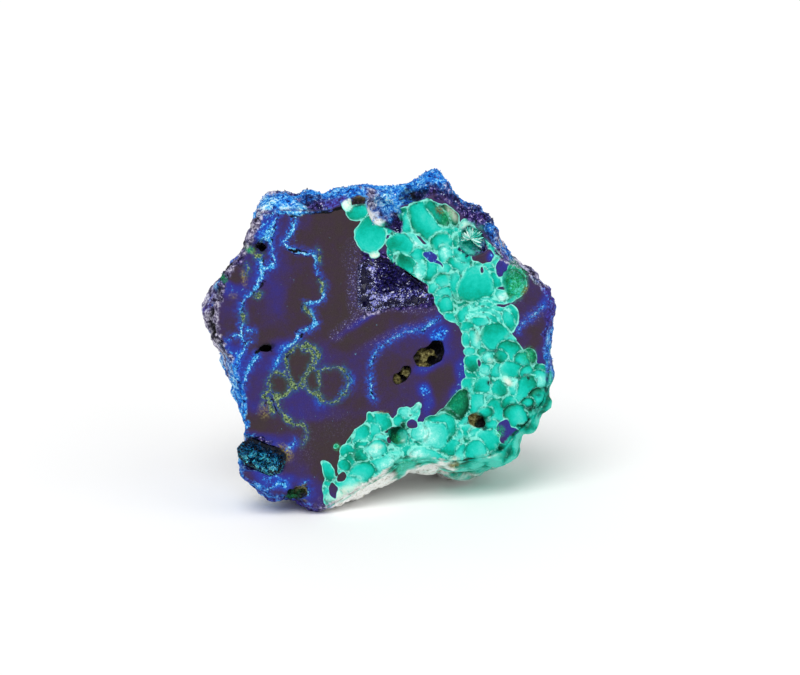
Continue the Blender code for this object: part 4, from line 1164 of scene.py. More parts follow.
@dataclass(frozen=True)
class AzuritePolish:
    """Polished azurite: brown and plum, violet and electric blue, with filled veins."""

    stops: Stops = (
        (0.00, (0.054, 0.038, 0.043)), (0.14, (0.055, 0.034, 0.056)), (0.30, (0.054, 0.033, 0.108)),
        (0.48, (0.046, 0.031, 0.180)), (0.66, (0.036, 0.038, 0.290)), (0.85, (0.026, 0.054, 0.39)),
        (1.00, (0.014, 0.095, 0.50)),
    )
    electric: Stops = (
        (0.28, (0.012, 0.016, 0.16)), (0.42, (0.012, 0.050, 0.44)), (0.54, (0.010, 0.15, 0.70)),
        (0.66, (0.030, 0.34, 0.84)), (0.78, (0.22, 0.66, 0.90)),
    )
    cyan_fill: Stops = (
        (0.32, (0.003, 0.008, 0.030)), (0.41, (0.008, 0.050, 0.26)), (0.47, (0.012, 0.22, 0.66)),
        (0.53, (0.08, 0.48, 0.80)), (0.59, (0.34, 0.76, 0.86)), (0.68, (0.90, 0.97, 0.94)),
    )
    olive_fill: Stops = (
        (0.36, (0.008, 0.016, 0.014)), (0.44, (0.026, 0.070, 0.070)), (0.51, (0.10, 0.16, 0.060)),
        (0.58, (0.24, 0.33, 0.12)), (0.66, (0.36, 0.52, 0.30)), (0.76, (0.62, 0.80, 0.66)),
    )
    grain_shade: Stops = ((0.30, (0.62, 0.62, 0.62)), (0.70, (1.0, 1.0, 1.0)))
    halo_blue: Colour = (0.020, 0.070, 0.46)
    halo_sky: Colour = (0.012, 0.20, 0.72)
    halo_dark: Colour = (0.010, 0.012, 0.075)
    gap_dark: Colour = (0.003, 0.004, 0.012)
    olive_halo: Colour = (0.030, 0.095, 0.085)
    # Dark of the cracks, and of the painted shadow line under the top band.
    crack_and_shadow_dark: Colour = (0.002, 0.003, 0.004)
    glint_dark: Colour = (0.050, 0.040, 0.18)
    glint_pale: Colour = (0.40, 0.38, 0.60)
    roughness: float = 0.30

    def paint(self, tree: Tree) -> Layer:
        """Paints the polished azurite.

        Args:
            tree: The finish's node tree.

        Returns:
            The layer.
        """
        mottle, fine, grain = tree.cloud(0.55, 4.0), tree.cloud(3.4, 5.0, 0.7), tree.cloud(6.5, 3.0, 0.7)
        flecks, speck, along = tree.cloud(1.2, 4.0, 0.66), tree.cloud(2.7, 4.0, 0.74), tree.cloud(0.60, 2.0)
        raw = tree.attribute("tone")
        tone = raw + (mottle - 0.5) * 0.42 + (fine - 0.5) * 0.30
        colour = tree.ramp(tone.least(0.80), self.stops)
        colour = tree.mix(1.0, colour, tree.ramp(grain, self.grain_shade), "MULTIPLY")
        patchy = tree.ramp((flecks + speck - 1.0) * 1.5 + 0.47, self.electric)
        blue = (raw - 0.62).clamped() * 0.9 + flecks * 0.6 + speck * 0.4 - 0.62
        ragged = (tree.cloud(1.9, 3.0) - 0.5) * 0.70 + (grain - 0.5) * 0.45
        cyan, olive, crack, halo = (
            tree.attribute(name) + ragged * share
            for name, share in ((VeinKind.CYAN.value, 1.0), (VeinKind.OLIVE.value, 1.1),
                                (VeinKind.CRACK.value, 0.6), ("halo", 2.0)))
        in_cyan = cyan.rise(0.16, -0.06) * along.rise(0.36, 0.48)
        in_olive, in_crack_and_shadow = olive.rise(0.20, -0.08), crack.rise(0.14, 0.0)
        gap = (tree.attribute("gap_line") + (grain - 0.5) * 0.4).rise(0.16, 0.04) * along.rise(0.54, 0.44)
        sparkle = tree.attribute("sparkle")
        glint = tree.flake_value(6.0) * 0.5 + tree.cloud(3.0, 3.0) * 0.5
        colour = tree.coats(
            colour,
            (blue.rise(0.0, 0.14) * 0.85, patchy),
            (halo.rise(1.6, 0.2) * flecks.rise(0.40, 0.58) * 0.55, self.halo_blue),
            (halo.rise(0.80, 0.05) * speck.rise(0.50, 0.60), self.halo_sky),
            (halo.rise(0.60, 0.05) * speck.rise(0.44, 0.34) * 0.7, self.halo_dark),
            (in_cyan, tree.ramp(speck, self.cyan_fill)),
            (gap, self.gap_dark),
            (olive.rise(1.1, 0.2) * speck.rise(0.40, 0.58) * 0.6, self.olive_halo),
            (in_olive, tree.ramp(speck, self.olive_fill)),
            # Cracks, and the painted shadow line under the top band.
            (in_crack_and_shadow, self.crack_and_shadow_dark),
            # Painted glitter: dark and pale glints where the polish sparkles.
            (sparkle * glint.rise(0.36, 0.60) * 0.7, self.glint_dark),
            (sparkle * glint.rise(0.66, 0.80) * 0.8, self.glint_pale))
        pits = in_cyan.most(in_olive).most(in_crack_and_shadow).most(gap)
        relief = 0.5 - pits * (speck * 0.9 + 0.1) - sparkle * glint.rise(0.5, 0.2) * 0.4
        return Layer(colour, self.roughness + 0.35 * pits, relief)


@dataclass(frozen=True)
class MalachitePolish:
    """Cut malachite: teal cells with mint rims, and painted shade in dark green near the cell edges, where
    it sinks.
    """

    stops: Stops = (
        (0.00, (0.000, 0.060, 0.026)), (0.20, (0.000, 0.16, 0.085)), (0.36, (0.000, 0.32, 0.21)),
        (0.50, (0.001, 0.46, 0.350)), (0.62, (0.010, 0.54, 0.43)), (0.78, (0.055, 0.60, 0.50)),
        (0.90, (0.17, 0.73, 0.63)), (1.00, (0.52, 0.88, 0.80)),
    )
    rim: Colour = (0.25, 0.83, 0.70)
    # Painted shade near the cell edges, darker still in the crevices.
    shade: Colour = (0.000, 0.14, 0.085)
    crevice_shade: Colour = (0.000, 0.060, 0.040)
    cream: Colour = (0.80, 0.86, 0.74)
    roughness: float = 0.34

    def paint(self, tree: Tree) -> Layer:
        """Paints the malachite.

        Args:
            tree: The finish's node tree.

        Returns:
            The layer.
        """
        fine, broad, place = tree.cloud(3.6, 4.0, 0.6), tree.cloud(0.9, 3.0), tree.cloud(0.65, 3.0)
        rim = tree.attribute("cell_rim") + (fine - 0.5) * 0.10
        bands = tree.node("ShaderNodeMath", {"operation": "SINE"}, {0: rim * 13.0 + fine * 2.0})
        tone = tree.attribute("cell_tone") + (broad - 0.5) * 0.34 + (fine - 0.5) * 0.12
        tone = tone + bands * rim.rise(1.8, 0.2) * 0.018
        width = tree.cloud(0.8, 2.0).rise(0.34, 0.70) * 0.16 + 0.05
        line = (rim / width).rise(1.5, 0.5) * tree.cloud(1.2, 2.0).rise(0.34, 0.52)
        # Painted shade in the crevices along the cell edges.
        crevice_shade = rim.rise(0.20, 0.02) * tree.cloud(0.9, 2.0, 0.5).rise(0.54, 0.64)
        cream = tree.attribute("cream") * tree.cloud(1.3, 3.0).rise(0.25, 0.5)
        edge = tree.attribute("malachite").rise(0.26, 0.06) * tree.cloud(1.0, 2.0).rise(0.30, 0.55)
        colour = tree.coats(
            tree.ramp(tone, self.stops),
            # Painted shade: dark green in patches along the cell edges.
            (rim.rise(0.55, 0.02) * place.rise(0.42, 0.62) * 0.62, self.shade),
            (line * 0.78, self.rim),
            (rim.rise(0.62, 0.08) * place.rise(0.50, 0.34) * 0.36, self.rim),
            (crevice_shade * 0.75, self.crevice_shade),
            (cream, self.cream),
            (edge * 0.75, self.rim))
        return Layer(colour, self.roughness + 0.25 * cream, 0.5 - crevice_shade * 0.5 + (fine - 0.5) * 0.2)


SKIN_FLECKS = {
    SkinKind.BLUE: (
        (0.16, (0.006, 0.010, 0.060)), (0.32, (0.006, 0.060, 0.38)), (0.48, (0.010, 0.17, 0.68)),
        (0.62, (0.045, 0.40, 0.86)), (0.82, (0.44, 0.74, 0.93))),
    SkinKind.INDIGO: (
        (0.28, (0.002, 0.002, 0.010)), (0.46, (0.010, 0.008, 0.060)), (0.60, (0.040, 0.022, 0.17)),
        (0.72, (0.16, 0.11, 0.36)), (0.86, (0.60, 0.55, 0.76))),
    SkinKind.FROST: (
        (0.24, (0.008, 0.030, 0.22)), (0.40, (0.020, 0.24, 0.66)), (0.54, (0.16, 0.62, 0.88)),
        (0.70, (0.72, 0.90, 0.95))),
    SkinKind.LAVENDER: (
        (0.24, (0.010, 0.009, 0.020)), (0.38, (0.080, 0.068, 0.13)), (0.52, (0.22, 0.20, 0.32)),
        (0.70, (0.64, 0.61, 0.74))),
    SkinKind.VIOLET: (
        (0.25, (0.020, 0.012, 0.070)), (0.44, (0.050, 0.026, 0.19)), (0.62, (0.060, 0.050, 0.40)),
        (0.80, (0.06, 0.26, 0.70))),
    SkinKind.MALACHITE: (
        (0.22, (0.000, 0.055, 0.030)), (0.40, (0.000, 0.22, 0.14)), (0.56, (0.001, 0.43, 0.31)),
        (0.74, (0.08, 0.63, 0.50))),
    SkinKind.MATRIX: (
        (0.14, (0.40, 0.38, 0.31)), (0.30, (0.80, 0.79, 0.74)), (0.50, (0.93, 0.93, 0.90)),
        (0.80, (0.97, 0.97, 0.96))),
    SkinKind.OCHRE: (
        (0.25, (0.030, 0.022, 0.010)), (0.45, (0.13, 0.11, 0.035)), (0.62, (0.27, 0.24, 0.085)),
        (0.80, (0.45, 0.42, 0.20))),
    SkinKind.BLACK: (
        (0.30, (0.001, 0.001, 0.002)), (0.60, (0.006, 0.006, 0.010)), (0.85, (0.030, 0.028, 0.045))),
}


@dataclass(frozen=True)
class RoughSkin:
    """The natural skin: each mineral with its own flecks, and painted shade where its grains and knobs meet.
    """

    roughness: float = 0.52
    contrast: float = 2.9
    crust_shade_share: float = 1.1

    def paint(self, tree: Tree) -> Layer:
        """Paints the rough skin.

        Args:
            tree: The finish's node tree.

        Returns:
            The layer.
        """
        fine, coarse = tree.cloud(3.4, 5.0, 0.68), tree.cloud(0.55, 4.0, 0.60, 1.6)
        middle = tree.cloud(1.3, 3.0, 0.62, 0.8)
        fleck = fine * 0.20 + coarse * 0.38 + middle * 0.32 + tree.flake_value(2.2) * 0.10
        # The crust value paints shade where the skin's grains meet, and lightens their middles.
        fleck = (fleck - 0.5) * self.contrast + 0.5 + tree.attribute("crust") * self.crust_shade_share
        # Painted shade for the malachite skin: dark in the gaps between knobs, pale on their tops.
        knobs = (tree.attribute("knob") - 0.78) * 1.7 + 0.52 + (fleck - 0.5) * 0.22
        colour = tree.ramp(fleck, SKIN_FLECKS[SkinKind.BLUE])
        gathered = tree.attribute(SkinKind.BLUE.value)
        for kind in list(SkinKind)[1:]:
            share = tree.attribute(kind.value)
            gathered = gathered + share
            shade = knobs if kind is SkinKind.MALACHITE else fleck
            colour = tree.mix(share / gathered.most(0.001), colour, tree.ramp(shade, SKIN_FLECKS[kind]))
        relief = tree.flakes(2.4) * -0.5 + fine
        return Layer(colour, self.roughness - 0.25 * fleck.rise(0.6, 0.9), relief)


@dataclass(frozen=True)
class StoneFinish:
    """The whole stone: polished azurite and malachite in front, rough skin behind."""

    azurite: AzuritePolish = AzuritePolish()
    malachite: MalachitePolish = MalachitePolish()
    skin: RoughSkin = RoughSkin()
    ochre: Stops = ((0.30, (0.03, 0.022, 0.010)), (0.50, (0.20, 0.15, 0.045)), (0.70, (0.42, 0.40, 0.16)))
    leaf: Stops = (
        (0.32, (0.001, 0.050, 0.020)), (0.45, (0.004, 0.24, 0.075)), (0.58, (0.012, 0.44, 0.16)),
        (0.72, (0.16, 0.72, 0.44)),
    )
    dark: Colour = (0.004, 0.006, 0.006)
    face_relief: float = 0.35
    relief_mm: float = 0.16
    specular: float = 0.07

    def material(self) -> bpy.types.Material:
        """Builds the stone's material.

        Returns:
            The finished material.
        """
        tree = Tree("azurite_malachite")
        polish, green, rough = (part.paint(tree) for part in (self.azurite, self.malachite, self.skin))
        inside = tree.attribute("malachite").rise(-0.03, 0.05)
        behind = tree.attribute("behind")
        ragged = tree.cloud(2.2, 3.0)
        colour = tree.coats(
            polish.colour,
            (inside, green.colour),
            (tree.attribute("ochre") * ragged.rise(0.36, 0.55), tree.ramp(tree.cloud(3.0, 3.0), self.ochre)),
            # Dark marks, some of them painted shade in the knob notches and beside the top cell.
            (tree.attribute("dark") * ragged.rise(0.30, 0.50), self.dark),
            (behind, rough.colour),
            (tree.attribute("leaf") * ragged.rise(0.34, 0.54) * 0.95,
             tree.ramp(tree.cloud(2.6, 4.0, 0.7), self.leaf)))
        roughness = polish.roughness + (green.roughness - polish.roughness) * inside
        roughness = roughness + (rough.roughness - roughness) * behind
        relief = (polish.relief + (green.relief - polish.relief) * inside) * self.face_relief
        relief = relief + (rough.relief - relief) * behind
        return tree.finish(colour, roughness, self.specular, relief, self.relief_mm)


@dataclass(frozen=True)
class CrystalFinish:
    """Small glassy crystals whose faces range over a ramp of tints."""

    name: str
    stops: Stops
    roughness: float = 0.16
    specular: float = 0.22

    def material(self) -> bpy.types.Material:
        """Builds the crystals' material.

        Returns:
            The finished material.
        """
        tree = Tree(self.name)
        tint = tree.attribute("tint") + (tree.cloud(2.5, 3.0) - 0.5) * 0.25
        roughness = self.roughness + 0.3 * tree.cloud(4.0, 2.0)
        return tree.finish(tree.ramp(tint, self.stops), roughness, self.specular, tree.cloud(6.0, 2.0))


# ---------------------------------------------------------------- the pieces


def read_points(mesh: bpy.types.Mesh) -> Points:
    """Reads a mesh's points.

    Args:
        mesh: The mesh.

    Returns:
        One row of x, y and z for each point.
    """
    values = np.empty(len(mesh.vertices) * 3)
    mesh.vertices.foreach_get("co", values)
    return values.reshape(-1, 3)


def write_points(mesh: bpy.types.Mesh, points: Points) -> None:
    """Moves the mesh's points."""
    mesh.vertices.foreach_set("co", points.ravel())
    mesh.update()


def keep_value(mesh: bpy.types.Mesh, name: str, values: Sequence[float]) -> None:
    """Keeps one value for each point of the mesh."""
    layer = mesh.attributes.new(name, "FLOAT", "POINT")
    layer.data.foreach_set("value", np.asarray(values, np.float32))


def kept_value(mesh: bpy.types.Mesh, name: str) -> Points:
    """Reads back what keep_value kept.

    Args:
        mesh: The mesh.
        name: The value's name.

    Returns:
        One value for each point.
    """
    values = np.empty(len(mesh.vertices), np.float32)
    mesh.attributes[name].data.foreach_get("value", values)
    return values


def apply_modifier(piece: bpy.types.Object, kind: str, **settings: object) -> None:
    """Adds one modifier and applies it.

    Args:
        piece: The piece that it changes.
        kind: The modifier's type.
        **settings: Its settings by name.
    """
    modifier = piece.modifiers.new(kind, kind)
    for setting, value in settings.items():
        setattr(modifier, setting, value)
    bpy.context.view_layer.objects.active = piece
    bpy.ops.object.modifier_apply(modifier=modifier.name)


def add_object(name: str, data: bpy.types.ID) -> bpy.types.Object:
    """Adds an object to the scene.

    Args:
        name: Its name.
        data: Its mesh, lamp or lens.

    Returns:
        The object.
    """
    made = bpy.data.objects.new(name, data)
    bpy.context.scene.collection.objects.link(made)
    return made


def copy_of_node(node: str, name: str) -> bpy.types.Object:
    """A copy of a frame node in the face frame, with its split corners joined again.

    Args:
        node: The node's name.
        name: The new piece's name.

    Returns:
        The copy, linked to the scene.
    """
    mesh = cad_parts[node].data.copy()
    mesh.transform(TO_FACE)
    builder = bmesh.new()
    builder.from_mesh(mesh)
    bmesh.ops.remove_doubles(builder, verts=builder.verts, dist=0.001)
    builder.to_mesh(mesh)
    builder.free()
    mesh.materials.clear()
    return add_object(name, mesh)


def stand_piece(piece: bpy.types.Object, slot: str, material: bpy.types.Material) -> None:
    """Brings a piece from the face frame to the row frame, and dresses it.

    Args:
        piece: The piece.
        slot: The record's material slot that it belongs to; not used.
        material: Its finish.
    """
    piece.data.transform(FROM_FACE)
    piece.data.materials.append(material)
    piece.data.update()
    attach(piece, "root")


@dataclass
class Stone:
    """The stone itself, remade as one fine closed skin.

    Lengths are in millimetres.  swells push the skin out, or in where their
    weight is below zero, and soft_sides rounds its far sides along x, y and z.
    """

    grid: float = 0.30
    triangles: int = 190_000
    face_depth: float = 0.2
    rough_from: float = 0.15
    rough_full: float = 1.3
    crust_size: float = 1.4
    crust_height: float = 0.75
    crust_shade_shift: float = 0.82
    crust_noise: Layers = ((0.42, 2.6, 0.0), (0.30, 1.1, 3.0), (0.16, 0.55, 9.0))
    pit_depth: float = 1.3
    back_height: float = 1.5
    back_noise: Layers = ((1.0, 5.5, 14.0), (0.5, 2.8, 21.0))
    chip_reach: float = 1.1
    chip_depth: float = 0.55
    chip_noise: Layers = ((0.55, 1.5, 4.0), (0.35, 0.6, 8.0))
    edge_slots: int = 360
    swells: tuple[Patch, ...] = rows(
        Patch,
        (245, 240, 1.2, 2.4, 1.5), (240, 248, 1.2, 2.0, 1.0), (231, 267, 6.5, 4.4, 1.4),
        (226, 276, 6.5, 3.6, 0.9), (530, 263, 5.5, 4.4, -1.1), (540, 271, 5.0, 3.6, -0.6),
        (511, 247, 3.0, 3.2, -0.6), (524, 258, 3.0, 3.2, -0.8), (536, 268, 3.0, 3.2, -0.8),
        (546, 280, 3.0, 2.6, -0.5), (510, 464, 3.0, 3.0, 1.5), (534, 430, 2.0, 2.0, 0.8),
        (552, 406, 1.5, 1.8, 0.9), (553, 377, 1.5, 2.0, 0.8), (520, 452, 1.5, 1.8, 0.7),
        (551, 392, 1.2, 1.1, -0.8), (545, 418, 1.2, 1.1, -0.8), (526, 441, 1.0, 1.1, -0.8),
    )
    near_knobs: float = 0.4
    knob_size: float = 2.9
    knob_height: float = 2.0
    knob_noise: Layers = ((0.10, 0.8, 5.0), (0.05, 0.4, 2.0))
    soft_sides: tuple[float, float, float] = (0.4, 1.8, 0.3)
    far_from: float = 3.0
    far_full: float = 9.0
    sharp_from: float = 50.0
    sharp_full: float = 56.0
    markings: FaceMarkings = field(default_factory=FaceMarkings)
    minerals: SkinMinerals = field(default_factory=SkinMinerals)

    def roughen(self, mesh: bpy.types.Mesh) -> None:
        """Gives the skin behind the sawn face its crust, knobs and pits.

        Args:
            mesh: The stone's fine skin.
        """
        points = read_points(mesh)
        normals = np.empty(len(points) * 3)
        mesh.vertex_normals.foreach_get("vector", normals)
        chosen = np.flatnonzero(points[:, 1] > self.rough_from)
        skin, out = points[chosen], normals.reshape(-1, 3)[chosen]
        near = 1.5 - patch_radius(skin, SKIN_PATCHES[SkinKind.MALACHITE])
        knobs = np.clip(near, 0.0, 1.0).max(axis=0)
        crust = self.crust_height * (grains(skin, self.crust_size) - 0.75)
        crust += layered(skin, self.crust_noise)
        crust -= self.pit_depth * self.minerals.fields(skin)[SkinKind.BLACK.value]
        back = smooth_step(out[:, 1], 0.3, 0.8)
        round_knobs = self.knob_height * (grains(skin, self.knob_size) - 0.75 - 0.15 * back)
        round_knobs *= self.near_knobs + (1.0 - self.near_knobs) * smooth_step(skin[:, 1], 2.0, 6.0)
        round_knobs += layered(skin, self.knob_noise)
        height = crust * (1.0 - knobs) + round_knobs * knobs
        height += self.back_height * layered(skin, self.back_noise) * back
        for swell, away in zip(self.swells, patch_radius(skin, self.swells)):
            height += swell.weight * np.exp(-away * away)
        rough = smooth_step(skin[:, 1], self.rough_from, self.rough_full)
        moved = skin + out * (height * rough)[:, None]
        moved[:, 1] = np.maximum(moved[:, 1], 0.5 * self.rough_from)
        points[chosen] = moved
        write_points(mesh, points)

    def chips(self, points: Points, on_face: Points) -> Points:
        """Breaks the edge of the sawn face away in small chips.

        Args:
            points: The skin's points.
            on_face: Which of them lie on the sawn face.

        Returns:
            How far every point is broken away, from 0 to 1.
        """
        place = points[:, [0, 2]]
        away = place - FACE_MIDDLE
        far, turn = np.hypot(*away.T), np.arctan2(away[:, 1], away[:, 0])
        slots = ((turn + math.pi) / (2.0 * math.pi) * self.edge_slots).astype(int) % self.edge_slots
        edge = np.zeros(self.edge_slots)
        np.maximum.at(edge, slots[on_face], far[on_face])
        left = 1.0 - (edge[slots] - far) / self.chip_reach
        left += layered(flat(place), self.chip_noise)
        sharp = smooth_step(points[:, 2], self.sharp_from, self.sharp_full) * 0.8
        return np.clip(left - sharp, 0.0, 1.0) * on_face

    def thin_out(self, piece: bpy.types.Object) -> None:
        """Spends the triangles on the sawn face and takes them from the rest.

        Args:
            piece: The stone.
        """
        points = read_points(piece.data)
        group = piece.vertex_groups.new(name="thin")
        group.add([int(i) for i in np.flatnonzero(points[:, 1] > self.face_depth)], 1.0, "REPLACE")
        ratio = self.triangles / (2 * len(piece.data.polygons))
        apply_modifier(piece, "DECIMATE", ratio=ratio, vertex_group="thin", vertex_group_factor=1.0)

    def keep_inside(self, mesh: bpy.types.Mesh) -> None:
        """Holds every point inside the stone's box, rounded at its far sides and flat where it stands.

        Args:
            mesh: A mesh in the face frame.
        """
        low, high = (np.array(corner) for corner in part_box("specimen"))
        mesh.transform(FROM_FACE)
        points, soft = read_points(mesh), np.array(self.soft_sides) * MM
        over = np.maximum(points - (high - soft), 0.0)
        points = np.minimum(points, high - soft) + soft * np.tanh(over / soft)
        write_points(mesh, np.clip(points, low, high))
        mesh.transform(TO_FACE)

    def build(self) -> bpy.types.Object:
        """Makes and dresses the stone.

        Returns:
            The finished piece.
        """
        piece = copy_of_node("specimen", "stone")
        apply_modifier(piece, "REMESH", mode="VOXEL", voxel_size=self.grid)
        self.roughen(piece.data)
        self.thin_out(piece)
        self.keep_inside(piece.data)
        points = read_points(piece.data)
        on_face = points[:, 1] < self.face_depth
        chip = self.chips(points, on_face)
        fields = self.markings.fields(points[:, [0, 2]]) | self.minerals.fields(points)
        fields["behind"] = np.maximum.reduce([
            smooth_step(points[:, 1], 0.22, 0.75), smooth_step(chip, 0.25, 0.6),
            fields.pop("rough") * on_face])
        # Knob and crust values kept for painted shade: dark where knobs and grains meet, pale at their
        # middles.
        fields["knob"] = grains(points, self.knob_size)
        far = smooth_step(points[:, 1], self.far_from, self.far_full)
        fields["crust"] = (grains(points, self.crust_size) - self.crust_shade_shift) * far
        inside = smooth_step(fields["malachite"], 0.0, 0.5)
        points[:, 1] += np.where(on_face, fields.pop("sunk") * inside, 0.0) + self.chip_depth * chip
        write_points(piece.data, points)
        for name, values in fields.items():
            keep_value(piece.data, name, values)
        piece.data.shade_smooth()
        stand_piece(piece, "azurite_malachite", StoneFinish().material())
        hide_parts("specimen")
        return piece


class CrystalCrop:
    """Crystals that grow in one mesh, each with one tint."""

    def __init__(self, dice: random.Random, base: bpy.types.Mesh | None = None) -> None:
        """Starts from nothing, or from a mesh that the crystals stand on.

        Args:
            dice: Where the crystals' spins are drawn from.
            base: The mesh that they stand on.
        """
        self.dice = dice
        self.builder = bmesh.new()
        if base is not None:
            self.builder.from_mesh(base)
        self.tints = [0.0] * len(self.builder.verts)

    def grow(self, foot: Vector, out: Vector, length: float, width: float) -> list[bmesh.types.BMVert]:
        """Adds one closed crystal with a slanted tip, spun at random.

        Args:
            foot: The middle of its foot.
            out: Where it points.
            length: From foot to tip, in millimetres.
            width: Across the blade, in millimetres.

        Returns:
            The crystal's points.
        """
        spin = self.dice.uniform(0.0, math.pi)
        turn = out.to_track_quat("Z", "Y").to_matrix() @ Matrix.Rotation(spin, 3, "Z")
        thick = 0.45 * width
        corners = ((-0.5 * width, -0.2 * thick), (0.0, -0.5 * thick), (0.5 * width, -0.2 * thick),
                   (0.5 * width, 0.3 * thick), (0.0, 0.5 * thick), (-0.5 * width, 0.3 * thick))
        new = self.builder.verts.new
        lower = [new(foot + turn @ Vector((x, y, 0.0))) for x, y in corners]
        upper = [new(foot + turn @ Vector((0.8 * x, 0.8 * y, length * (0.78 + 0.2 * x / width))))
                 for x, y in corners]
        tip = new(foot + turn @ Vector((0.18 * width, 0.0, length)))
        for i in range(6):
            j = (i + 1) % 6
            self.builder.faces.new((lower[i], lower[j], upper[j], upper[i]))
            self.builder.faces.new((upper[i], upper[j], tip))
        self.builder.faces.new(lower[::-1])
        return [*lower, *upper, tip]

    def tint(self, points: Sequence[bmesh.types.BMVert], tint: float) -> None:
        """Gives the newest crystal's points their tint."""
        self.tints.extend([tint] * len(points))

    def harvest(self, mesh: bpy.types.Mesh) -> None:
        """Writes the crystals and their tints to a mesh.

        Args:
            mesh: The mesh.
        """
        self.builder.to_mesh(mesh)
        self.builder.free()
        keep_value(mesh, "tint", self.tints)


@dataclass(frozen=True)
class Blade:
    """Sizes of one kind of crystal: its range of lengths in millimetres, how slim and how unruly."""

    shortest: float
    longest: float
    slimness: float
    lean: float

    def length(self, dice: random.Random) -> float:
        """A length from the range."""
        return dice.uniform(self.shortest, self.longest)

    def sway(self, dice: random.Random) -> Vector:
        """How far one crystal leans away from its seat."""
        return Vector(dice.uniform(-self.lean, self.lean) for _ in range(3))


@dataclass
class CrystalLining:
    """The crystals that line one hollow.

    ways are the ways that its open sides face: a face counts where it turns to
    one of them by more than facing, and not into the stone by most_away.  Where
    it turns out of the stone by more than wall, a share of on_wall of its
    crystals is spread past the crust.  On other faces they are outer_share as
    long.  No crystal comes nearer to the sawn plane than sawn_at, and those
    without room stay a stub.
    """

    node: str
    name: str
    slot: str
    count: int
    blade: Blade
    finish: CrystalFinish
    tint: Callable[[Vector, random.Random], float]
    seed: int
    ways: tuple[Vector, ...] = (Vector((0.0, -1.0, 0.0)),)
    most_away: float = 0.1
    outer_share: float = 1.0
    spread: float = 1.22
    facing: float = 0.08
    wall: float = 0.08
    on_wall: float = 0.3
    nearest: float = 0.1
    root: float = 0.1
    clearance: float = 0.06
    stub: float = 0.12
    sawn_at: float = 0.02
    forward: Vector = field(default_factory=lambda: Vector((0.0, -0.6, 0.0)))

    def seats(self, mesh: bpy.types.Mesh, dice: random.Random) -> list[tuple[Vector, Vector]]:
        """Spreads places evenly over the crust's open sides.

        Args:
            mesh: The crust's triangles.
            dice: Where the places are drawn from.

        Returns:
            Each place, with the way out of the crust there.
        """
        open_side = [face for face in mesh.polygons
                     if face.normal.y < self.most_away
                     and any(face.normal.dot(way) > self.facing for way in self.ways)]
        areas = [face.area for face in open_side]
        middle = sum((face.center for face in open_side), Vector()) / len(open_side)
        left_end = min(vertex.co.x for vertex in mesh.vertices)
        places = []
        for face in dice.choices(open_side, weights=areas, k=self.count):
            first, second = sorted((dice.random(), dice.random()))
            a, b, c = (mesh.vertices[i].co for i in face.vertices[:3])
            place = a * first + b * (second - first) + c * (1.0 - second)
            if face.normal.y < -self.wall and dice.random() < self.on_wall:
                place = middle + (place - middle) * dice.uniform(1.0, self.spread)
                place.x = max(place.x, left_end)
                place.y = max(self.nearest, place.y * dice.uniform(0.1, 0.9))
            places.append((place, face.normal.copy()))
        return places

    def build(self) -> bpy.types.Object:
        """Makes and dresses the lining.

        Returns:
            The finished piece.
        """
        dice = random.Random(self.seed)
        piece = copy_of_node(self.node, self.name)
        apply_modifier(piece, "TRIANGULATE")
        crop = CrystalCrop(dice, piece.data)
        for foot, normal in self.seats(piece.data, dice):
            out = (normal + self.forward + self.blade.sway(dice)).normalized()
            length = self.blade.length(dice) * (self.outer_share if normal.y > -self.wall else 1.0)
            room = (foot.y - self.clearance) / max(-out.y, 0.05)
            length = min(length, max(room, self.stub))
            points = crop.grow(foot - out * self.root, out, length, length / self.blade.slimness)
            for point in points:
                point.co.y = max(point.co.y, self.sawn_at)
            crop.tint(points, self.tint(foot, dice))
        crop.harvest(piece.data)
        stand_piece(piece, self.slot, self.finish.material())
        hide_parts(self.node)
        return piece


def held(value: float) -> float:
    """The value held between 0 and 1."""
    return max(0.0, min(1.0, value))


def vug_tint(place: Vector, dice: random.Random) -> float:
    """Tint in the upper hollow: painted shade, darkest at the upper right under its overhang, and painted
    glints at the left and below.

    low and left grow from 0 to 1 towards those sides.

    Args:
        place: The crystal's foot in the face frame.
        dice: Where the tint is drawn from.

    Returns:
        The tint, from 0 to 1.
    """
    low, left = held((45.4 - place.z) / 3.8), held((0.6 - place.x) / 4.2)
    patch = 0.55 + 0.6 * noise.noise(place / 1.3)
    rim = 0.45 * max(low, left) if place.y < 1.3 else 0.0
    bright = dice.random() < 0.06 + 0.75 * low * patch + 0.80 * left * patch + rim
    return dice.uniform(0.62, 1.0) if bright else dice.uniform(0.0, 0.34 + 0.30 * max(low, left))


def pocket_tint(place: Vector, dice: random.Random) -> float:
    """Tint in the lower hollow: painted shadow in black under its upper edge, and teal-blue below where it
    is lit.

    Args:
        place: The crystal's foot in the face frame.
        dice: Where the tint is drawn from.

    Returns:
        The tint, from 0 to 1.
    """
    lit = held((14.4 - place.z + 0.4 * (-24.0 - place.x)) / 3.0)
    patch = 0.5 + 0.7 * noise.noise(place / 1.1)
    return dice.uniform(0.0, 0.2) + lit * held(patch + dice.uniform(-0.4, 0.5)) * 0.85


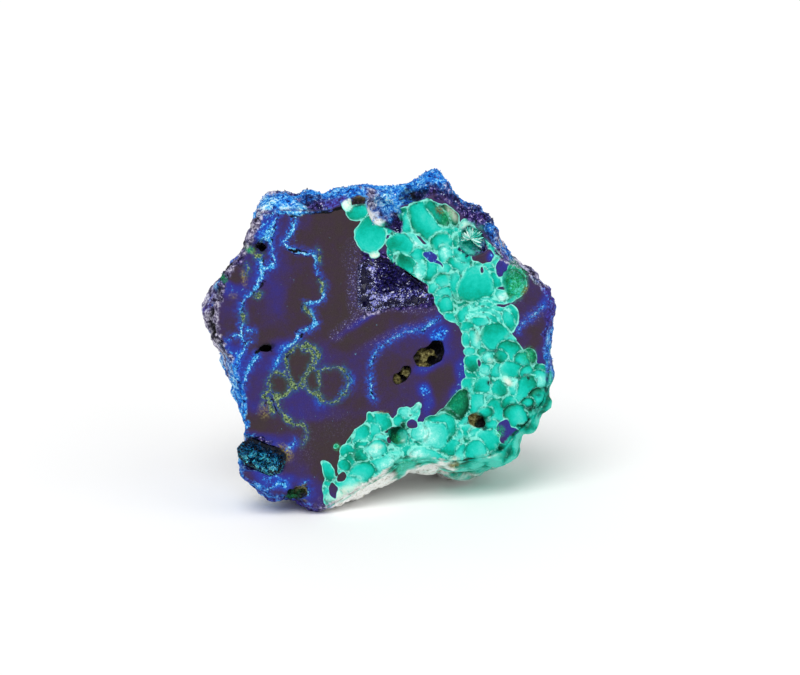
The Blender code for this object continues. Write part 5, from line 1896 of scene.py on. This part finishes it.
@dataclass
class Spray:
    """A burst of pale malachite needles in the hollow of the right shoulder."""

    middle: tuple[float, float] = (472.0, 239.0)
    depth: float = 1.5
    count: int = 170
    reach: float = 1.9
    first_turn: float = -0.25 * math.pi
    last_turn: float = 1.15 * math.pi
    blade: Blade = Blade(0.8, 2.2, 4.2, 0.35)
    seed: int = 17
    finish: CrystalFinish = CrystalFinish("needle_malachite", (
        (0.00, (0.000, 0.22, 0.16)), (0.30, (0.020, 0.52, 0.42)), (0.60, (0.30, 0.80, 0.70)),
        (1.00, (0.82, 0.96, 0.92))))

    def build(self) -> bpy.types.Object:
        """Makes and dresses the needles.

        Returns:
            The finished piece.
        """
        dice = random.Random(self.seed)
        (x, z), = DRAWING.place([self.middle])
        crop = CrystalCrop(dice)
        for _ in range(self.count):
            turn = dice.uniform(self.first_turn, self.last_turn)
            way = Vector((math.cos(turn), -dice.uniform(0.1, 0.8), math.sin(turn))).normalized()
            start = Vector((x, self.depth, z)) + way * dice.uniform(0.0, 0.5 * self.reach)
            length = min(self.blade.length(dice), (start.y + 0.05) / -way.y)
            points = crop.grow(start, way, length, length / self.blade.slimness)
            crop.tint(points, dice.random())
        mesh = bpy.data.meshes.new("needles")
        crop.harvest(mesh)
        piece = add_object("malachite_needles", mesh)
        stand_piece(piece, "azurite_malachite", self.finish.material())
        return piece


@dataclass
class RimCrystals:
    """Small crystals that stand on the rough rim, fixed in the skin.

    They stand most densely above high_full, and only at low_share below high_from.
    blue_tint and indigo_tint are the middle and the spread of the tints on
    skin of those two minerals.
    """

    count: int = 4600
    high_from: float = 46.0
    high_full: float = 56.0
    low_share: float = 0.12
    sunk_share: float = 0.45
    lowest_on_face: float = 38.0
    deepest: float = 22.0
    blue_tint: tuple[float, float] = (0.66, 0.30)
    indigo_tint: tuple[float, float] = (0.20, 0.24)
    palest_share: float = 0.05
    blade: Blade = Blade(0.22, 0.62, 1.7, 0.8)
    tint_noise: Layers = ((0.9, 1.5, 2.0), (0.5, 0.5, 5.0))
    seed: int = 11
    finish: CrystalFinish = CrystalFinish("rim_azurite", (
        (0.00, (0.004, 0.003, 0.020)), (0.25, (0.020, 0.012, 0.10)), (0.42, (0.10, 0.06, 0.26)),
        (0.50, (0.008, 0.070, 0.44)), (0.68, (0.014, 0.22, 0.76)), (0.86, (0.08, 0.46, 0.88)),
        (1.00, (0.62, 0.78, 0.92))))

    def build(self, stone: bpy.types.Object) -> bpy.types.Object:
        """Scatters the crystals over the stone's blue and indigo skin.

        Args:
            stone: The finished stone.

        Returns:
            The finished piece.
        """
        dice = random.Random(self.seed)
        skin = stone.data.copy()
        skin.transform(TO_FACE)
        points = read_points(skin)
        blue, indigo, behind = (
            kept_value(skin, name) for name in (SkinKind.BLUE.value, SkinKind.INDIGO.value, "behind"))
        high_up = smooth_step(points[:, 2] + 0.25 * points[:, 0], self.high_from, self.high_full)
        gathered = smooth_step(waves(points, 2.2, 6.0), -0.25, 0.25)
        wanted = (indigo + 0.6 * blue) * (self.low_share + high_up)
        allowed = (points[:, 1] > 0.8) | (points[:, 2] > self.lowest_on_face)
        wanted *= gathered * ((behind > 0.6) & allowed & (points[:, 1] < self.deepest))
        chosen = dice.choices(range(len(points)), weights=wanted.tolist(), k=self.count)
        crop = CrystalCrop(dice)
        for i, shift in zip(chosen, layered(points[chosen], self.tint_noise)):
            out = (skin.vertices[i].normal + self.blade.sway(dice)).normalized()
            length = self.blade.length(dice)
            foot = Vector(points[i]) - out * self.sunk_share * length
            made = crop.grow(foot, out, length, length / self.blade.slimness)
            middle, spread = self.blue_tint if blue[i] > indigo[i] else self.indigo_tint
            tint = middle + spread * (shift + dice.uniform(-0.5, 0.5))
            crop.tint(made, held(tint) if dice.random() > self.palest_share else 1.0)
        mesh = bpy.data.meshes.new("rim_crystals")
        crop.harvest(mesh)
        piece = add_object("rim_crystals", mesh)
        Stone().keep_inside(mesh)
        stand_piece(piece, "azurite_crystals", self.finish.material())
        return piece


# ------------------------------------------------------------------ the studio


def look_from(made: bpy.types.Object, way: Vector) -> None:
    """Turns a lamp or the camera to look back along the way that it lies in."""
    made.rotation_mode = "QUATERNION"
    made.rotation_quaternion = (-way).to_track_quat("-Z", "Y")


@dataclass
class Studio:
    """Pale floor, soft white light and the camera."""

    distance: float = 0.70
    frame_width: float = 0.160
    aim: Vector = field(default_factory=lambda: Vector((4.0, 0.0, 35.3)))
    sensor: float = 36.0
    floor_size: float = 6.0
    sky: float = 0.55

    def floor(self) -> None:
        """The floor, a wide white sheet."""
        mesh = bpy.data.meshes.new("floor")
        half = 0.5 * self.floor_size
        corners = [(-half, -half, 0), (half, -half, 0), (half, half, 0), (-half, half, 0)]
        mesh.from_pydata(corners, [], [(0, 1, 2, 3)])
        tree = Tree("floor_white")
        white = tree.mix(tree.cloud(0.02, 2.0), (0.93, 0.93, 0.92), (0.95, 0.95, 0.95))
        mesh.materials.append(tree.finish(white, 0.7, 0.1))
        made = add_object("floor", mesh)

    def world(self) -> None:
        """White surroundings."""
        world = bpy.data.worlds.new("studio")
        world.use_nodes = True
        background = world.node_tree.nodes["Background"]
        background.inputs["Color"].default_value = (1.0, 1.0, 1.0, 1.0)
        background.inputs["Strength"].default_value = self.sky
        bpy.context.scene.world = world

    def sun(self, name: str, place: Vector, width: float, strength: float) -> None:
        """A far lamp, as wide in the sky as a soft box.

        Args:
            name: The lamp's name.
            place: Where it is, seen from the stone.
            width: How wide it is in the sky, in degrees.
            strength: Its light on a surface that faces it.
        """
        light = bpy.data.lights.new(name, "SUN")
        light.angle = math.radians(width)
        light.energy = strength
        look_from(add_object(name, light), place)

    def camera(self) -> None:
        """The camera, level and to the left of the stone."""
        lens = bpy.data.cameras.new("camera")
        lens.sensor_width = self.sensor
        lens.lens = self.sensor * self.distance / self.frame_width
        lens.clip_start = 0.01
        lens.clip_end = 20.0
        made = add_object("camera", lens)
        cos = math.cos(SIGHT_RISE)
        back = Vector((math.sin(SIGHT_TURN) * cos, -math.cos(SIGHT_TURN) * cos, math.sin(SIGHT_RISE)))
        made.location = FROM_FACE @ self.aim + back * self.distance
        look_from(made, back)
        bpy.context.scene.camera = made

    def build(self) -> None:
        """Sets up everything round the stone."""
        self.floor()
        self.world()
        self.sun("key", Vector((-0.42, -0.70, 1.20)), 40.0, 1.8)
        self.sun("fill", Vector((0.75, -0.8, 0.8)), 60.0, 0.55)
        self.camera()
        view = bpy.context.scene.view_settings
        view.view_transform = "Standard"
        view.look = "None"


def linings() -> tuple[CrystalLining, CrystalLining]:
    """Gives each hollow its sizes and its finish.

    Returns:
        The linings of the upper and the lower hollow.
    """
    front, up, left = Vector((0.0, -1.0, 0.0)), Vector((0.0, 0.0, 1.0)), Vector((-1.0, 0.0, 0.0))
    vug_azurite = CrystalFinish("vug_azurite", (
        (0.00, (0.003, 0.002, 0.020)), (0.20, (0.010, 0.008, 0.085)), (0.42, (0.036, 0.026, 0.27)),
        (0.62, (0.12, 0.13, 0.56)), (0.80, (0.36, 0.38, 0.80)), (1.00, (0.88, 0.89, 0.98))))
    pocket_teal = CrystalFinish("pocket_teal", (
        (0.00, (0.001, 0.002, 0.006)), (0.18, (0.003, 0.018, 0.050)), (0.38, (0.006, 0.080, 0.24)),
        (0.58, (0.010, 0.22, 0.42)), (0.80, (0.04, 0.44, 0.56)), (1.00, (0.26, 0.70, 0.72))))
    return (
        CrystalLining("vug_crystals", "vug_lining", "azurite_crystals", 6600, Blade(0.34, 1.0, 2.2, 0.9),
                      vug_azurite, vug_tint, seed=3, ways=(front, up)),
        CrystalLining("pocket_crystals", "pocket_lining", "teal_crystals", 5200, Blade(0.30, 0.85, 2.0, 0.9),
                      pocket_teal, pocket_tint, seed=5, ways=(front, left), most_away=0.9, outer_share=0.32,
                      spread=1.05))


def report(piece: bpy.types.Object) -> None:
    """Says in the log that a piece is made."""
    LOG.info("%s: %d faces", piece.name, len(piece.data.polygons))


def main() -> None:
    """Builds the stone, its crystals and the studio, in that order."""
    stone = Stone().build()
    report(stone)
    for lining in linings():
        report(lining.build())
    report(RimCrystals().build(stone))
    report(Spray().build())
    Studio().build()


if __name__ == "__main__":
    logging.basicConfig(level=logging.INFO)
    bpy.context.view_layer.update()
    main()
